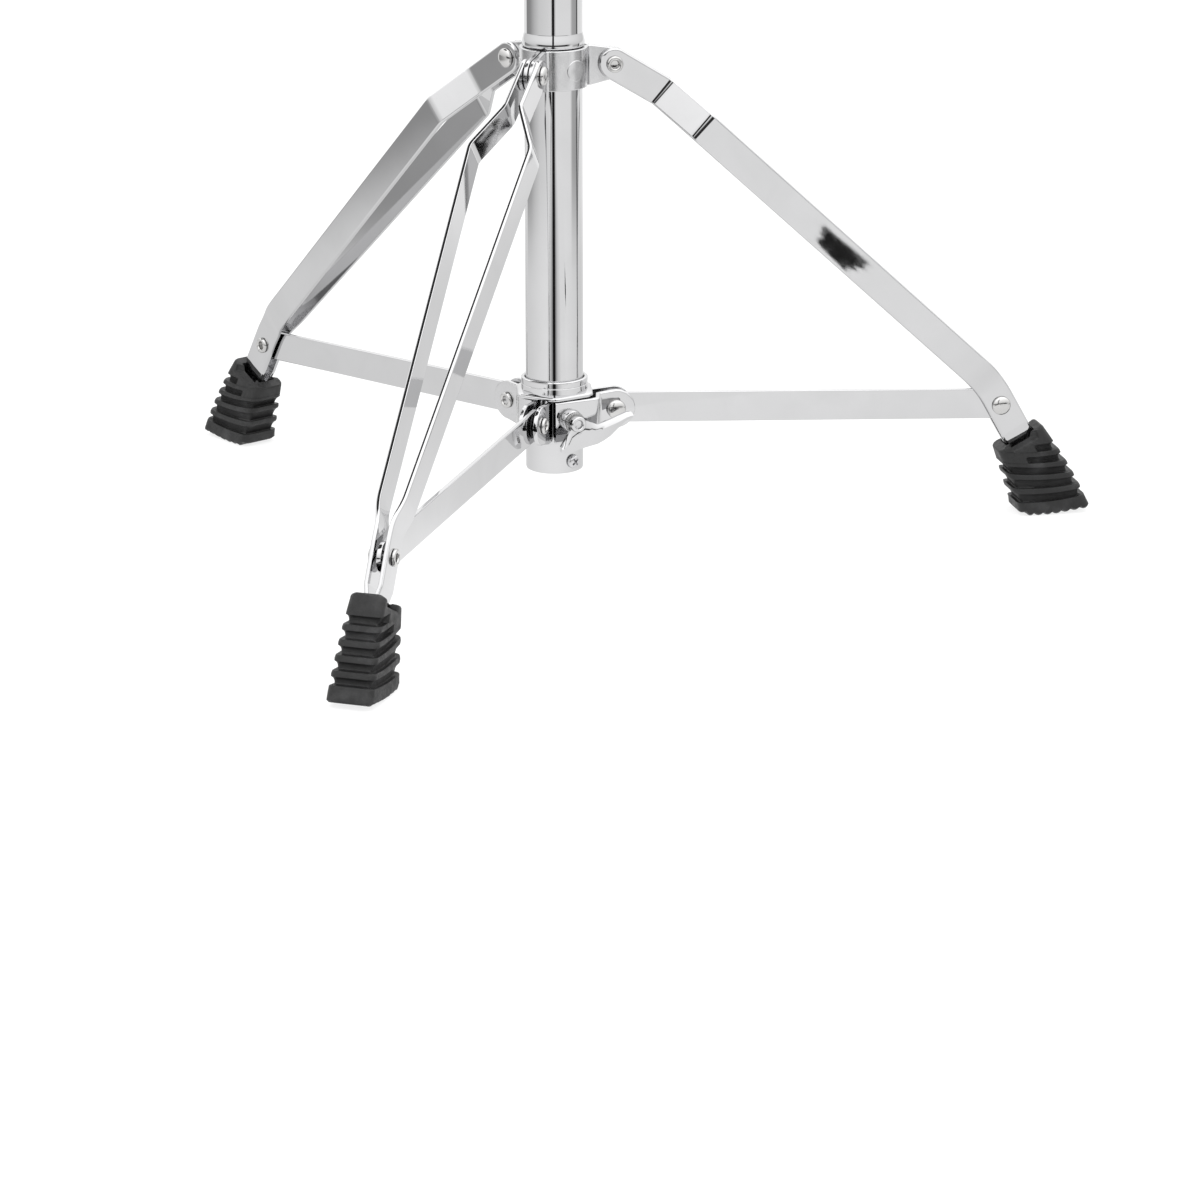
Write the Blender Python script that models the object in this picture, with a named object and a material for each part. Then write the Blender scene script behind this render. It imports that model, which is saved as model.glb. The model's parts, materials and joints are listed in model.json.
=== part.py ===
"""A double-braced folding tripod base for a drum-hardware stand, modelled at real size, standing open.

One upright tube carries a fixed upper hub and a sliding lower hub. Each of the three legs is a pair of flat
straps hinged at the upper hub, and each brace is one flat strap from the lower hub to its leg.
All driving dimensions are in millimetres and are turned into metres as each mesh is made.
Every leg is drawn in its own frame: X runs out from the tube, Y across the leg and Z up.
"""

import math

import bmesh
import bpy
from mathutils import Matrix, Vector

MM = 0.001
GAP = 0.3

# Upright tube
TUBE_R = 14.3
TUBE_WALL = 1.2
TUBE_BOTTOM = 38.0
TUBE_TOP = 450.0
BEAD_Z = (249.9, 257.0)
BEAD_RISE = 1.1
BEAD_SKEW = 0.49
STOP_AZIMUTH = -33.0
STOP_Z = 44.0

# Legs
LEG_AZIMUTHS = {"front": -90.9, "right": 30.0, "left": 150.0}
NEXT_LEG = {"front": "right", "right": "left", "left": "front"}
LEG_PIVOT = (29.4, 240.4)
STRAP_W = 15.4
STRAP_T = 2.2
SPLAY_START = (53.6, 225.6)
SPLAY_END = (71.2, 209.8)
KNEE = (224.3, 69.5)
KNEE_R = 60.0
SHIN_ANGLE = -60.5
PINCH = (238.0, 242.0)
STRAP_END = 249.0
SPREAD_TOP = 3.8
SPREAD_WIDE = 15.3
SPREAD_KNEE = 6.2
SPREAD_SHIN = 3.6
SPREAD_FOOT = 1.8

# Braces
BRACE_HUB = (30.3, 67.3)
BRACE_LEG = (230.3, 57.8)
BRACE_T = 2.4

# Hubs
PLATE_T = 2.2
UPPER_BAND = (230.2, 249.8)
UPPER_EAR_Y = 1.4
UPPER_EAR_R = 7.6
UPPER_BEND = 3.0
STUD_R = 5.2
STUD_Z = 239.6
LOWER_BAND = (55.6, 76.2)
LOWER_EAR_Y = 3.9
LOWER_EAR_R = 9.8
LOWER_BEND = 3.4
SLEEVE_R = 16.5
SLEEVE_Z = (54.0, 85.3)
CAP_PLATE = (76.6, 78.6)
CAP_APOTHEM = 18.7
CAP_TURN = -39.0
LOCK_AZIMUTH = -46.5
LOCK_Z = 66.6
LOCK_FACE = 18.5
LOCK_FACE_END = 15.0
LOCK_EAR_ROOT = ((22.8, 3.9), (21.0, 5.1))

# Fasteners
RIVET_R = 2.5
HOLE_R = 2.8
DOME_R = 4.8
DOME_RISE = 2.0
ROLL_R = 4.2
SCREW_R = 3.0
SCREW_HOLE = 3.3

# Feet, as (out from the tube, height) at the four corners of the side view
FOOT_TOP_INNER = (230.5, 32.5)
FOOT_TOP_OUTER = (252.5, 45.5)
FOOT_TOE = (277.0, 5.0)
FOOT_TOE_LOW = (274.0, 2.5)
FOOT_SOLE = (243.0, 260.0)
FOOT_HEEL = (240.0, 4.0)
FOOT_W_TOP = 17.0
FOOT_W_BOTTOM = 22.6
FOOT_CORNER = 4.5
FOOT_RIBS = 5
RIB_DEPTH = 1.7

# One broad lopsided wing, as (across, up) points round its edge
WING_OUTLINE = [
    (-3.4, -2.6), (-8.8, -10.6), (-8.9, -12.8), (-7.2, -14.4), (-4.6, -14.4), (3.2, -12.8), (11.0, -11.6),
    (16.5, -9.2), (20.5, -6.2), (24.5, -2.8), (29.0, -0.6), (30.4, 1.0), (29.6, 2.9), (26.4, 2.8),
    (18.0, 0.2), (11.0, -1.6), (3.6, 1.6),
]

# Height clamp
CLAMP_Z = (426.0, 448.0)
CLAMP_T = 2.4
CLAMP_LUG_Y = 3.3
CLAMP_LUG_R = 8.6
CLAMP_BOLT_R = 27.0
CLAMP_BEND = 2.5
CLAMP_AZIMUTH = -30.0
BUSH_BORE = 11.3

# The feet's box is centred on the origin, so the tube stands behind it.
CORNER_OUT = FOOT_W_BOTTOM / 2 - FOOT_CORNER
CORNER_BACK = (FOOT_TOE[0] - FOOT_CORNER) / 2 + CORNER_OUT * math.cos(math.radians(30))
FOOT_BACK = CORNER_BACK + FOOT_CORNER * math.cos(math.radians(15))
FRONT_TURN = math.radians(abs(LEG_AZIMUTHS["front"] + 90))
FOOT_FRONT = FOOT_TOE[0] * math.cos(FRONT_TURN) + CORNER_OUT * math.sin(FRONT_TURN)
TUBE_Y = (FOOT_FRONT - FOOT_BACK) / 2


def polar(radius, degrees):
    turn = math.radians(degrees)
    return Vector((radius * math.cos(turn), radius * math.sin(turn)))


def turn_to_next(leg):
    """The angle from a leg round to the next one."""
    return (LEG_AZIMUTHS[NEXT_LEG[leg]] - LEG_AZIMUTHS[leg]) % 360


def leg_frame(azimuth):
    """Places a leg's own frame in the world, in millimetres."""
    return Matrix.Translation((0, TUBE_Y, 0)) @ Matrix.Rotation(math.radians(azimuth), 4, "Z")


def material(name, color, roughness, metallic):
    made = bpy.data.materials.new(name)
    made.use_nodes = True
    shader = made.node_tree.nodes["Principled BSDF"]
    shader.inputs["Base Color"].default_value = (*color, 1.0)
    shader.inputs["Roughness"].default_value = roughness
    shader.inputs["Metallic"].default_value = metallic
    return made


def pivot(name, frame, point, parent=None):
    """An empty on a joint's axis, turned like the leg that it belongs to."""
    empty = bpy.data.objects.new(name, None)
    bpy.context.scene.collection.objects.link(empty)
    place = frame @ Matrix.Translation(point)
    place.translation *= MM
    empty.parent = parent
    empty.matrix_world = place
    return empty


def add_body(name, bm, finish, frame, parent=None, origin=(0, 0, 0)):
    """Makes an object from a mesh drawn in millimetres in the given frame, with its origin at a point of it."""
    bmesh.ops.recalc_face_normals(bm, faces=bm.faces)
    bmesh.ops.triangulate(bm, faces=bm.faces)
    bmesh.ops.translate(bm, vec=-Vector(origin), verts=bm.verts)
    bmesh.ops.scale(bm, vec=(MM, MM, MM), verts=bm.verts)
    mesh = bpy.data.meshes.new(name)
    bm.to_mesh(mesh)
    bm.free()
    mesh.materials.append(finish)
    mesh.shade_smooth()
    mesh.set_sharp_from_angle(angle=math.radians(30))
    body = bpy.data.objects.new(name, mesh)
    bpy.context.scene.collection.objects.link(body)
    place = frame @ Matrix.Translation(origin)
    place.translation *= MM
    bpy.context.view_layer.update()
    body.parent = parent
    body.matrix_world = place
    return body


def turned(profile, segments, axis_frame=None):
    """Spins a closed outline of (radius, height) points round Z; a radius of 0 closes on the axis."""
    bm = bmesh.new()
    rings = []
    for radius, height in profile:
        if radius == 0:
            rings.append([bm.verts.new((0, 0, height))] * segments)
            continue
        ring = [polar(radius, 360 * i / segments) for i in range(segments)]
        rings.append([bm.verts.new((p.x, p.y, height)) for p in ring])
    for lower, upper in zip(rings, rings[1:] + rings[:1]):
        for i in range(segments):
            j = (i + 1) % segments
            corners = [lower[i], lower[j], upper[j], upper[i]]
            corners = [v for k, v in enumerate(corners) if v not in corners[:k]]
            if len(corners) > 2:
                bm.faces.new(corners)
    if axis_frame is not None:
        bmesh.ops.transform(bm, matrix=axis_frame, verts=bm.verts)
    return bm


def ribbon(rings):
    """A closed bar through a row of sections that have the same number of corners."""
    bm = bmesh.new()
    rows = [[bm.verts.new(point) for point in ring] for ring in rings]
    for near, far in zip(rows, rows[1:]):
        for i in range(len(near)):
            j = (i + 1) % len(near)
            bm.faces.new((near[i], near[j], far[j], far[i]))
    bm.faces.new(rows[0])
    bm.faces.new(reversed(rows[-1]))
    return bm


def extruded(outline, low, high):
    """A plate between two heights from an outline of (x, y) points."""
    bm = bmesh.new()
    floor = [bm.verts.new((x, y, low)) for x, y in outline]
    roof = [bm.verts.new((x, y, high)) for x, y in outline]
    bm.faces.new(reversed(floor))
    bm.faces.new(roof)
    for i in range(len(outline)):
        j = (i + 1) % len(outline)
        bm.faces.new((floor[i], floor[j], roof[j], roof[i]))
    return bm


def across_y(point, height):
    """A frame whose Z axis runs along Y through the point (x, z), starting at y = height."""
    spot = Matrix.Translation((point[0], height, point[1]))
    return spot @ Matrix.Rotation(math.radians(-90), 4, "X")


def along_azimuth(azimuth, height):
    """A frame whose Z axis points out from the tube's axis at this height."""
    turn = Matrix.Rotation(math.radians(azimuth), 4, "Z")
    return Matrix.Translation((0, 0, height)) @ turn @ Matrix.Rotation(math.radians(90), 4, "Y")


def add_cutter(name, radius, low, high, axis_frame, frame, segments=16):
    half_step = Matrix.Rotation(math.radians(180 / segments), 4, "Z")
    rod = turned([(0, low), (radius, low), (radius, high), (0, high)], segments, axis_frame @ half_step)
    cutter = add_body(name, rod, FINISHES["steel"], frame)
    cutter.hide_render = True
    cutter.display_type = "WIRE"
    return cutter


def boolean(body, cutter, operation="DIFFERENCE"):
    change = body.modifiers.new(cutter.name, "BOOLEAN")
    change.operation = operation
    change.object = cutter
    change.solver = "EXACT"


def arc(center, radius, start, end, steps):
    """Points round a centre from one angle to another, in degrees."""
    turns = [start + (end - start) * i / steps for i in range(steps + 1)]
    return [Vector(center) + polar(radius, turn) for turn in turns]


def rounded_ends(length, radius, steps=5):
    """Stations (distance, half width) of a round nose that starts before 0 and is full at the given length."""
    angles = [math.radians(80 - 80 * i / steps) for i in range(steps + 1)]
    return [(length - radius * math.sin(a), radius * math.cos(a)) for a in angles]


# ---------------------------------------------------------------- tube


def add_tube():
    bead = []
    for share in (0, 0.1, 0.25, 0.45, 0.7, 1):
        swell = BEAD_RISE * math.sin(math.pi * share ** BEAD_SKEW)
        bead.append((TUBE_R + swell, BEAD_Z[0] + (BEAD_Z[1] - BEAD_Z[0]) * share))
    inner = TUBE_R - TUBE_WALL
    rim = [(TUBE_R - 0.9, TUBE_BOTTOM), (TUBE_R - 0.3, TUBE_BOTTOM + 0.4), (TUBE_R, TUBE_BOTTOM + 1.2)]
    outline = rim + bead + [(TUBE_R, TUBE_TOP), (inner, TUBE_TOP), (inner, TUBE_BOTTOM)]
    frame = leg_frame(0)
    tube = add_body("base_tube", turned(outline, 36), FINISHES["chrome"], frame)
    stop_axis = along_azimuth(STOP_AZIMUTH, STOP_Z)
    boolean(tube, add_cutter("stop_hole", 2.3, 10, 18, stop_axis, frame))

    plug_r = inner - GAP
    plug = [(0, TUBE_BOTTOM + 1.4), (plug_r - 1, TUBE_BOTTOM + 1.4), (plug_r, TUBE_BOTTOM + 2.4)]
    plug += [(plug_r, STOP_Z - 3.2), (plug_r - 2, STOP_Z - 3.2)]
    plug += [(plug_r - 2, TUBE_BOTTOM + 3.4), (0, TUBE_BOTTOM + 3.4)]
    add_body("tube_end_plug", turned(plug, 24), FINISHES["black_plastic"], frame)

    screw = [(0, 9.5), (2.0, 9.5), (2.0, TUBE_R + GAP), (3.5, TUBE_R + GAP)]
    screw += [(3.5, TUBE_R + 1.2), (2.8, TUBE_R + 2.0), (1.4, TUBE_R + 2.4), (0, TUBE_R + 2.5)]
    add_body("stop_screw", turned(screw, 16, stop_axis), FINISHES["steel"], frame)


# ---------------------------------------------------------------- hubs


def fillet_path(ear_y, band_r, bend):
    """A hub plate's centre line in plan round the bend from its ear onto the band."""
    bend_x = math.sqrt((band_r + bend) ** 2 - (ear_y + bend) ** 2)
    center = (bend_x, ear_y + bend)
    meet = math.degrees(math.atan2(ear_y + bend, bend_x)) - 180
    return arc(center, bend, -90, meet, 3)


def plate_rings(path, heights, thickness):
    """Sections of an upright plate along a plan path, with a (low, high) pair for each point."""
    rings = []
    for i, point in enumerate(path):
        before = path[max(i - 1, 0)]
        after = path[min(i + 1, len(path) - 1)]
        into = (point - before).normalized() if i else (after - point).normalized()
        out = (after - point).normalized() if i < len(path) - 1 else into
        along = (into + out).normalized()
        reach = thickness / 2 / max(along.dot(into), 0.5)
        side = Vector((-along.y, along.x)) * reach
        low, high = heights[i]
        left, right = point + side, point - side
        rings.append([(left.x, left.y, low), (right.x, right.y, low), (right.x, right.y, high), (left.x, left.y, high)])
    return rings


def ear_nose(pivot_x, pivot_z, radius, ear_y):
    """The round end of an ear, from its tip in to its pivot, as path points and heights."""
    stations = rounded_ends(0, radius)
    path = [Vector((pivot_x - along, ear_y)) for along, _ in stations]
    return path, [(pivot_z - half, pivot_z + half) for _, half in stations]


def turn_path(path, degrees, flip=False):
    spin = Matrix.Rotation(math.radians(degrees), 2)
    return [spin @ Vector((p.x, -p.y if flip else p.y)) for p in path]


def band_plate(leg, pivot_point, ear_y, ear_r, band_r, bend, band):
    """One of a hub's three plates: an ear, a third of a band and the next leg's ear."""
    turn = turn_to_next(leg)
    path, heights = ear_nose(pivot_point[0], pivot_point[1], ear_r, ear_y)
    bend_points = fillet_path(ear_y, band_r, bend)
    path = path + bend_points
    heights = heights + [band] * len(bend_points)
    last = math.degrees(math.atan2(bend_points[-1].y, bend_points[-1].x))
    middle = arc((0, 0), band_r, last, turn - last, 10)[1:-1]
    mirrored = turn_path(path, turn, flip=True)
    whole = path + middle + list(reversed(mirrored))
    whole_heights = heights + [band] * len(middle) + list(reversed(heights))
    return plate_rings(whole, whole_heights, PLATE_T)


def lock_plate():
    """The lower hub's plate that is boxed out to a flat face for the wing bolt."""
    turn = turn_to_next("front")
    path, heights = ear_nose(BRACE_HUB[0], BRACE_HUB[1], LOWER_EAR_R, LOWER_EAR_Y)
    normal = polar(1, LOCK_AZIMUTH - LEG_AZIMUTHS["front"])
    along = Vector((-normal.y, normal.x))
    corner_x = (LOCK_FACE - LOWER_EAR_Y * normal.y) / normal.x
    corner = Vector((corner_x, LOWER_EAR_Y))
    bend = [corner + Vector((1.6, 0)), corner + Vector((0.5, 0.3)), corner + along * 1.6]
    face_end = normal * LOCK_FACE + along * LOCK_FACE_END
    far_ear = turn_path(path, turn, flip=True)
    root = turn_path([Vector(point) for point in LOCK_EAR_ROOT], turn, flip=True)
    side = [face_end - along * 1.5, face_end + (root[1] - face_end).normalized() * 1.5]
    middle = bend + side + [root[1], root[0]]
    whole = path + middle + list(reversed(far_ear))
    whole_heights = heights + [LOWER_BAND] * len(middle) + list(reversed(heights))
    return plate_rings(whole, whole_heights, PLATE_T)


def add_upper_hub():
    band_r = TUBE_R + GAP + PLATE_T / 2
    names = {"front": "front_right", "right": "back", "left": "front_left"}
    for leg, azimuth in LEG_AZIMUTHS.items():
        frame = leg_frame(azimuth)
        rings = band_plate(leg, LEG_PIVOT, UPPER_EAR_Y, UPPER_EAR_R, band_r, UPPER_BEND, UPPER_BAND)
        plate = add_body("upper_hub_plate_" + names[leg], ribbon(rings), FINISHES["chrome"], frame)
        for eared in (leg, NEXT_LEG[leg]):
            boolean(plate, CUTTERS["upper_" + eared])
        stud_axis = along_azimuth(turn_to_next(leg) / 2, STUD_Z)
        face = band_r + PLATE_T / 2
        stud = [(0, face + GAP), (STUD_R, face + GAP), (STUD_R, face + 0.6), (STUD_R - 0.8, face + 0.9)]
        stud.append((0, face + 0.9))
        add_body("upper_hub_stud_" + names[leg], turned(stud, 18, stud_axis), FINISHES["chrome"], frame)


def add_lower_hub(slider):
    names = {"front": "lock", "right": "back", "left": "front_left"}
    band_r = SLEEVE_R + GAP + PLATE_T / 2
    for leg, azimuth in LEG_AZIMUTHS.items():
        if leg == "front":
            rings = lock_plate()
        else:
            rings = band_plate(leg, BRACE_HUB, LOWER_EAR_Y, LOWER_EAR_R, band_r, LOWER_BEND, LOWER_BAND)
        name = "lower_hub_plate_" + names[leg]
        plate = add_body(name, ribbon(rings), FINISHES["chrome"], leg_frame(azimuth), slider)
        for eared in (leg, NEXT_LEG[leg]):
            boolean(plate, CUTTERS["lower_" + eared])
        if leg == "front":
            boolean(plate, CUTTERS["lock"])

    bore = TUBE_R + GAP
    groove = SLEEVE_R - 0.9
    low, high = SLEEVE_Z
    outline = [(bore, low), (SLEEVE_R, low), (SLEEVE_R, high - 4.6), (groove, high - 4.0)]
    outline += [(groove, high - 2.9), (SLEEVE_R, high - 2.3), (SLEEVE_R, high - 0.5)]
    outline += [(SLEEVE_R - 0.5, high), (bore, high)]
    sleeve = add_body("lower_hub_sleeve", turned(outline, 36), FINISHES["chrome"], leg_frame(0), slider)
    boolean(sleeve, CUTTERS["lock"])

    corner = CAP_APOTHEM / math.cos(math.radians(30))
    outline = [polar(corner, CAP_TURN + 30 + 60 * i) for i in range(6)]
    cap = extruded(outline, *CAP_PLATE)
    cap_plate = add_body("lower_hub_top_plate", cap, FINISHES["chrome"], leg_frame(0), slider)
    hole = add_cutter("sleeve_hole", SLEEVE_R + GAP, 70, 90, Matrix.Identity(4), leg_frame(0), 36)
    boolean(cap_plate, hole)


# ---------------------------------------------------------------- rivets


def rivet_head(half_grip):
    """The dome's outline, from the shank out and up to the axis."""
    outline = [(RIVET_R, half_grip), (DOME_R, half_grip)]
    for lift in (0, 38, 68):
        turn = math.radians(lift)
        outline.append((DOME_R * math.cos(turn), half_grip + 0.4 + DOME_RISE * math.sin(turn)))
    return outline + [(0, half_grip + 0.4 + DOME_RISE)]


def rivet_tail(half_grip):
    """The rolled tubular end's outline, from its bore out and back to the shank."""
    low = -half_grip
    outline = [(0, low + 1.5), (2.0, low + 1.5), (2.0, low - 0.6), (2.9, low - 1.4)]
    return outline + [(3.8, low - 1.1), (ROLL_R, low), (RIVET_R, low)]


def add_rivet(name, point, half_grip, dome_sign, frame, parent=None, part="whole"):
    """Sets a rivet across a leg at (x, z), with its dome on the side that dome_sign says.

    Half a rivet stops short of the leg's middle plane, where a brace runs.
    """
    stub = BRACE_T / 2 + 0.5
    if part == "head":
        outline = [(0, stub), (RIVET_R, stub)] + rivet_head(half_grip)
    elif part == "tail":
        outline = rivet_tail(half_grip) + [(RIVET_R, -stub), (0, -stub)]
    else:
        outline = rivet_tail(half_grip) + rivet_head(half_grip)
    axis = across_y(point, 0)
    if dome_sign < 0:
        axis = axis @ Matrix.Rotation(math.radians(180), 4, "X")
    origin = (point[0], 0, point[1])
    return add_body(name, turned(outline, 14, axis), FINISHES["rivet"], frame, parent, origin)


# ---------------------------------------------------------------- legs


def leg_line():
    """The leg's centre line in side view, as (x, z, direction) stations from the pivot to the foot."""
    main = math.atan2(KNEE[1] - SPLAY_END[1], KNEE[0] - SPLAY_END[0])
    thigh = math.radians(-31.5)
    shin = math.radians(SHIN_ANGLE)
    reach = KNEE_R * math.tan((main - shin) / 2)
    start = Vector(KNEE) - reach * Vector((math.cos(main), math.sin(main)))
    center = start + KNEE_R * Vector((math.sin(main), -math.cos(main)))
    stations = [(SPLAY_START[0], SPLAY_START[1], math.radians(-42))]
    stations.append((SPLAY_END[0], SPLAY_END[1], main))
    middle = Vector(SPLAY_END).lerp(start, 0.5)
    stations.append((middle.x, middle.y, main))
    for i in range(6):
        turn = main + (shin - main) * i / 5
        spot = center + KNEE_R * Vector((-math.sin(turn), math.cos(turn)))
        stations.append((spot.x, spot.y, turn))
    for reach in (*PINCH, STRAP_END):
        stations.append((reach, KNEE[1] + (reach - KNEE[0]) * math.tan(shin), shin))
    return thigh, stations


def spread_at(index, count):
    """How far a strap's middle is from the leg's middle plane at each station."""
    if index == 0:
        return SPREAD_TOP
    if index == 1:
        return SPREAD_WIDE
    if index == 2:
        return (SPREAD_WIDE + SPREAD_KNEE) / 2
    if index >= count - 2:
        return SPREAD_FOOT
    knee_share = min(max((index - 3) / 3, 0), 1)
    return SPREAD_KNEE + (SPREAD_SHIN - SPREAD_KNEE) * knee_share


def strap_rings(side):
    """Sections of one leg strap; side is 1 for the +Y strap and -1 for the other."""
    thigh, stations = leg_line()
    along = Vector((math.cos(thigh), math.sin(thigh)))
    half = STRAP_W / 2
    points = []
    for distance, width in rounded_ends(0, half):
        spot = Vector(LEG_PIVOT) + along * distance
        points.append((spot, thigh, width, SPREAD_TOP))
    for i, (x, z, turn) in enumerate(stations):
        points.append((Vector((x, z)), turn, half, spread_at(i, len(stations))))
    rings = []
    for spot, turn, width, spread in points:
        edge = Vector((-math.sin(turn), math.cos(turn))) * width
        inner = side * (spread - STRAP_T / 2)
        outer = side * (spread + STRAP_T / 2)
        top, low = spot + edge, spot - edge
        rings.append([(top.x, inner, top.y), (top.x, outer, top.y), (low.x, outer, low.y), (low.x, inner, low.y)])
    return rings


def foot_ring(inner, outer, half, middle=0.5):
    """A rounded rectangle across the foot between two points of its side view, with a point in each long side."""
    length = (outer - inner).length
    far, wide = length - FOOT_CORNER, half - FOOT_CORNER
    plan = [Vector((length * middle, half))]
    plan += arc((FOOT_CORNER, wide), FOOT_CORNER, 90, 180, 2) + arc((FOOT_CORNER, -wide), FOOT_CORNER, 180, 270, 2)
    plan += [Vector((length * middle, -half))]
    plan += arc((far, -wide), FOOT_CORNER, 270, 360, 2) + arc((far, wide), FOOT_CORNER, 0, 90, 2)
    spots = [(inner.lerp(outer, point.x / length), point.y) for point in plan]
    return [(spot.x, lateral, spot.y) for spot, lateral in spots]


def foot_rings():
    """Sections down the foot, with the valleys between its ribs cut in all the way round."""
    levels = [(0.0, 1.5), (0.06, 0.0)]
    for i in range(FOOT_RIBS):
        levels += [((i + 0.6) / (FOOT_RIBS + 0.4), RIB_DEPTH), ((i + 1) / (FOOT_RIBS + 0.4), 0.0)]
    levels.append((1.0, 0.0))
    rings = []
    for share, depth in levels:
        inner = Vector(FOOT_TOP_INNER).lerp(Vector(FOOT_HEEL), share)
        outer = Vector(FOOT_TOP_OUTER).lerp(Vector(FOOT_TOE), share)
        inset = (outer - inner).normalized() * depth
        half = (FOOT_W_TOP + (FOOT_W_BOTTOM - FOOT_W_TOP) * share) / 2 - depth
        rings.append(foot_ring(inner + inset, outer - inset, half))
    heel, bend = FOOT_SOLE
    toe, lift = FOOT_TOE_LOW
    flat = foot_ring(Vector((heel, 0)), Vector((toe, 0)), FOOT_W_BOTTOM / 2 - 1, (bend - heel) / (toe - heel))
    rings.append([(x, y, max(0, x - bend) / (toe - bend) * lift) for x, y, _ in flat])
    return rings


def add_foot(leg, frame, parent):
    bm = ribbon(foot_rings())
    bm.faces.ensure_lookup_table()
    sole = bm.faces[-1]
    bends = [vert for vert in sole.verts if abs(vert.co.x - FOOT_SOLE[1]) < 0.01]
    bmesh.utils.face_split(sole, *bends)
    origin = (LEG_PIVOT[0], 0, LEG_PIVOT[1])
    foot = add_body(leg + "_foot", bm, FINISHES["rubber"], frame, parent, origin)

    shin = math.radians(SHIN_ANGLE)
    edge = Vector((-math.sin(shin), math.cos(shin))) * (STRAP_W / 2 + GAP)
    wide = SPREAD_SHIN + STRAP_T / 2 + GAP
    narrow = SPREAD_FOOT + STRAP_T / 2 + GAP
    pocket = []
    for reach, half in ((KNEE[0], wide), (PINCH[0], wide), (PINCH[1], narrow), (STRAP_END + GAP, narrow)):
        spot = Vector((reach, KNEE[1] + (reach - KNEE[0]) * math.tan(shin)))
        top, low = spot + edge, spot - edge
        pocket.append([(top.x, -half, top.y), (top.x, half, top.y), (low.x, half, low.y), (low.x, -half, low.y)])
    cutter = add_body(leg + "_pocket", ribbon(pocket), FINISHES["rubber"], frame)
    cutter.hide_render = True
    cutter.display_type = "WIRE"
    boolean(foot, cutter)


def add_leg(leg, azimuth):
    frame = leg_frame(azimuth)
    point = (LEG_PIVOT[0], 0, LEG_PIVOT[1])
    hinge = pivot(leg + "_leg_hinge", frame, point)
    for side, label in ((1, "a"), (-1, "b")):
        name = f"{leg}_leg_strap_{label}"
        strap = add_body(name, ribbon(strap_rings(side)), FINISHES["chrome"], frame, hinge, point)
        boolean(strap, CUTTERS["upper_" + leg])
        boolean(strap, CUTTERS["brace_" + leg])
    add_foot(leg, frame, hinge)
    half_grip = SPREAD_TOP + STRAP_T / 2 + GAP
    add_rivet(leg + "_leg_rivet", LEG_PIVOT, half_grip, 1, frame)
    half_grip = SPREAD_SHIN + STRAP_T / 2 + GAP
    add_rivet(leg + "_brace_rivet_head", BRACE_LEG, half_grip, -1, frame, hinge, "head")
    add_rivet(leg + "_brace_rivet_tail", BRACE_LEG, half_grip, -1, frame, hinge, "tail")


def add_brace(leg, azimuth, slider):
    frame = leg_frame(azimuth)
    hub, end = Vector(BRACE_HUB), Vector(BRACE_LEG)
    span = end - hub
    along = span.normalized()
    edge = Vector((-along.y, along.x))
    nose = rounded_ends(0, STRAP_W / 2)
    stations = nose + [(span.length - distance, half) for distance, half in reversed(nose)]
    rings = []
    for distance, half in stations:
        spot = hub + along * distance
        top, low = spot + edge * half, spot - edge * half
        t = BRACE_T / 2
        rings.append([(top.x, -t, top.y), (top.x, t, top.y), (low.x, t, low.y), (low.x, -t, low.y)])
    point = (hub.x, 0, hub.y)
    hinge = pivot(leg + "_brace_hinge", frame, point, slider)
    brace = add_body(leg + "_brace", ribbon(rings), FINISHES["chrome"], frame, hinge, point)
    boolean(brace, CUTTERS["lower_" + leg])
    boolean(brace, CUTTERS["brace_" + leg])
    half_grip = LOWER_EAR_Y + PLATE_T / 2 + GAP
    add_rivet(leg + "_hub_rivet", BRACE_HUB, half_grip, -1, frame, slider)
    inner = BRACE_T / 2 + GAP
    outer = LOWER_EAR_Y - PLATE_T / 2 - GAP
    washer = [(HOLE_R, inner), (6.4, inner), (6.4, outer), (HOLE_R, outer)]
    for side, label in ((1, "a"), (-1, "b")):
        axis = across_y(BRACE_HUB, 0) @ Matrix.Rotation(math.radians(90 - 90 * side), 4, "X")
        name = f"{leg}_hub_washer_{label}"
        add_body(name, turned(washer, 14, axis), FINISHES["black_plastic"], frame, slider, point)


# ---------------------------------------------------------------- wing bolts


def add_wing_bolt(name, axis, tip, hub_low, hub_high, parent, frame):
    """A screw along the axis frame's Z with a hub and one broad lopsided wing."""
    hub_r = 4.3
    outline = [(0, tip), (SCREW_R, tip), (SCREW_R, hub_low), (hub_r, hub_low), (hub_r, hub_high - 0.4)]
    outline += [(hub_r - 0.5, hub_high), (2.1, hub_high), (1.8, hub_high - 1.8), (0, hub_high - 1.8)]
    origin = axis.translation
    bolt = add_body(name, turned(outline, 24, axis), FINISHES["chrome"], frame, parent, origin)
    blade_low = hub_low + 0.5
    blade = extruded(WING_OUTLINE, blade_low, blade_low + 2.8)
    bmesh.ops.transform(blade, matrix=axis @ Matrix.Rotation(math.radians(90), 4, "Z"), verts=blade.verts)
    wing = add_body(name + "_blade", blade, FINISHES["chrome"], frame, parent, origin)
    wing.hide_render = True
    wing.display_type = "WIRE"
    boolean(bolt, wing, "UNION")


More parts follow.
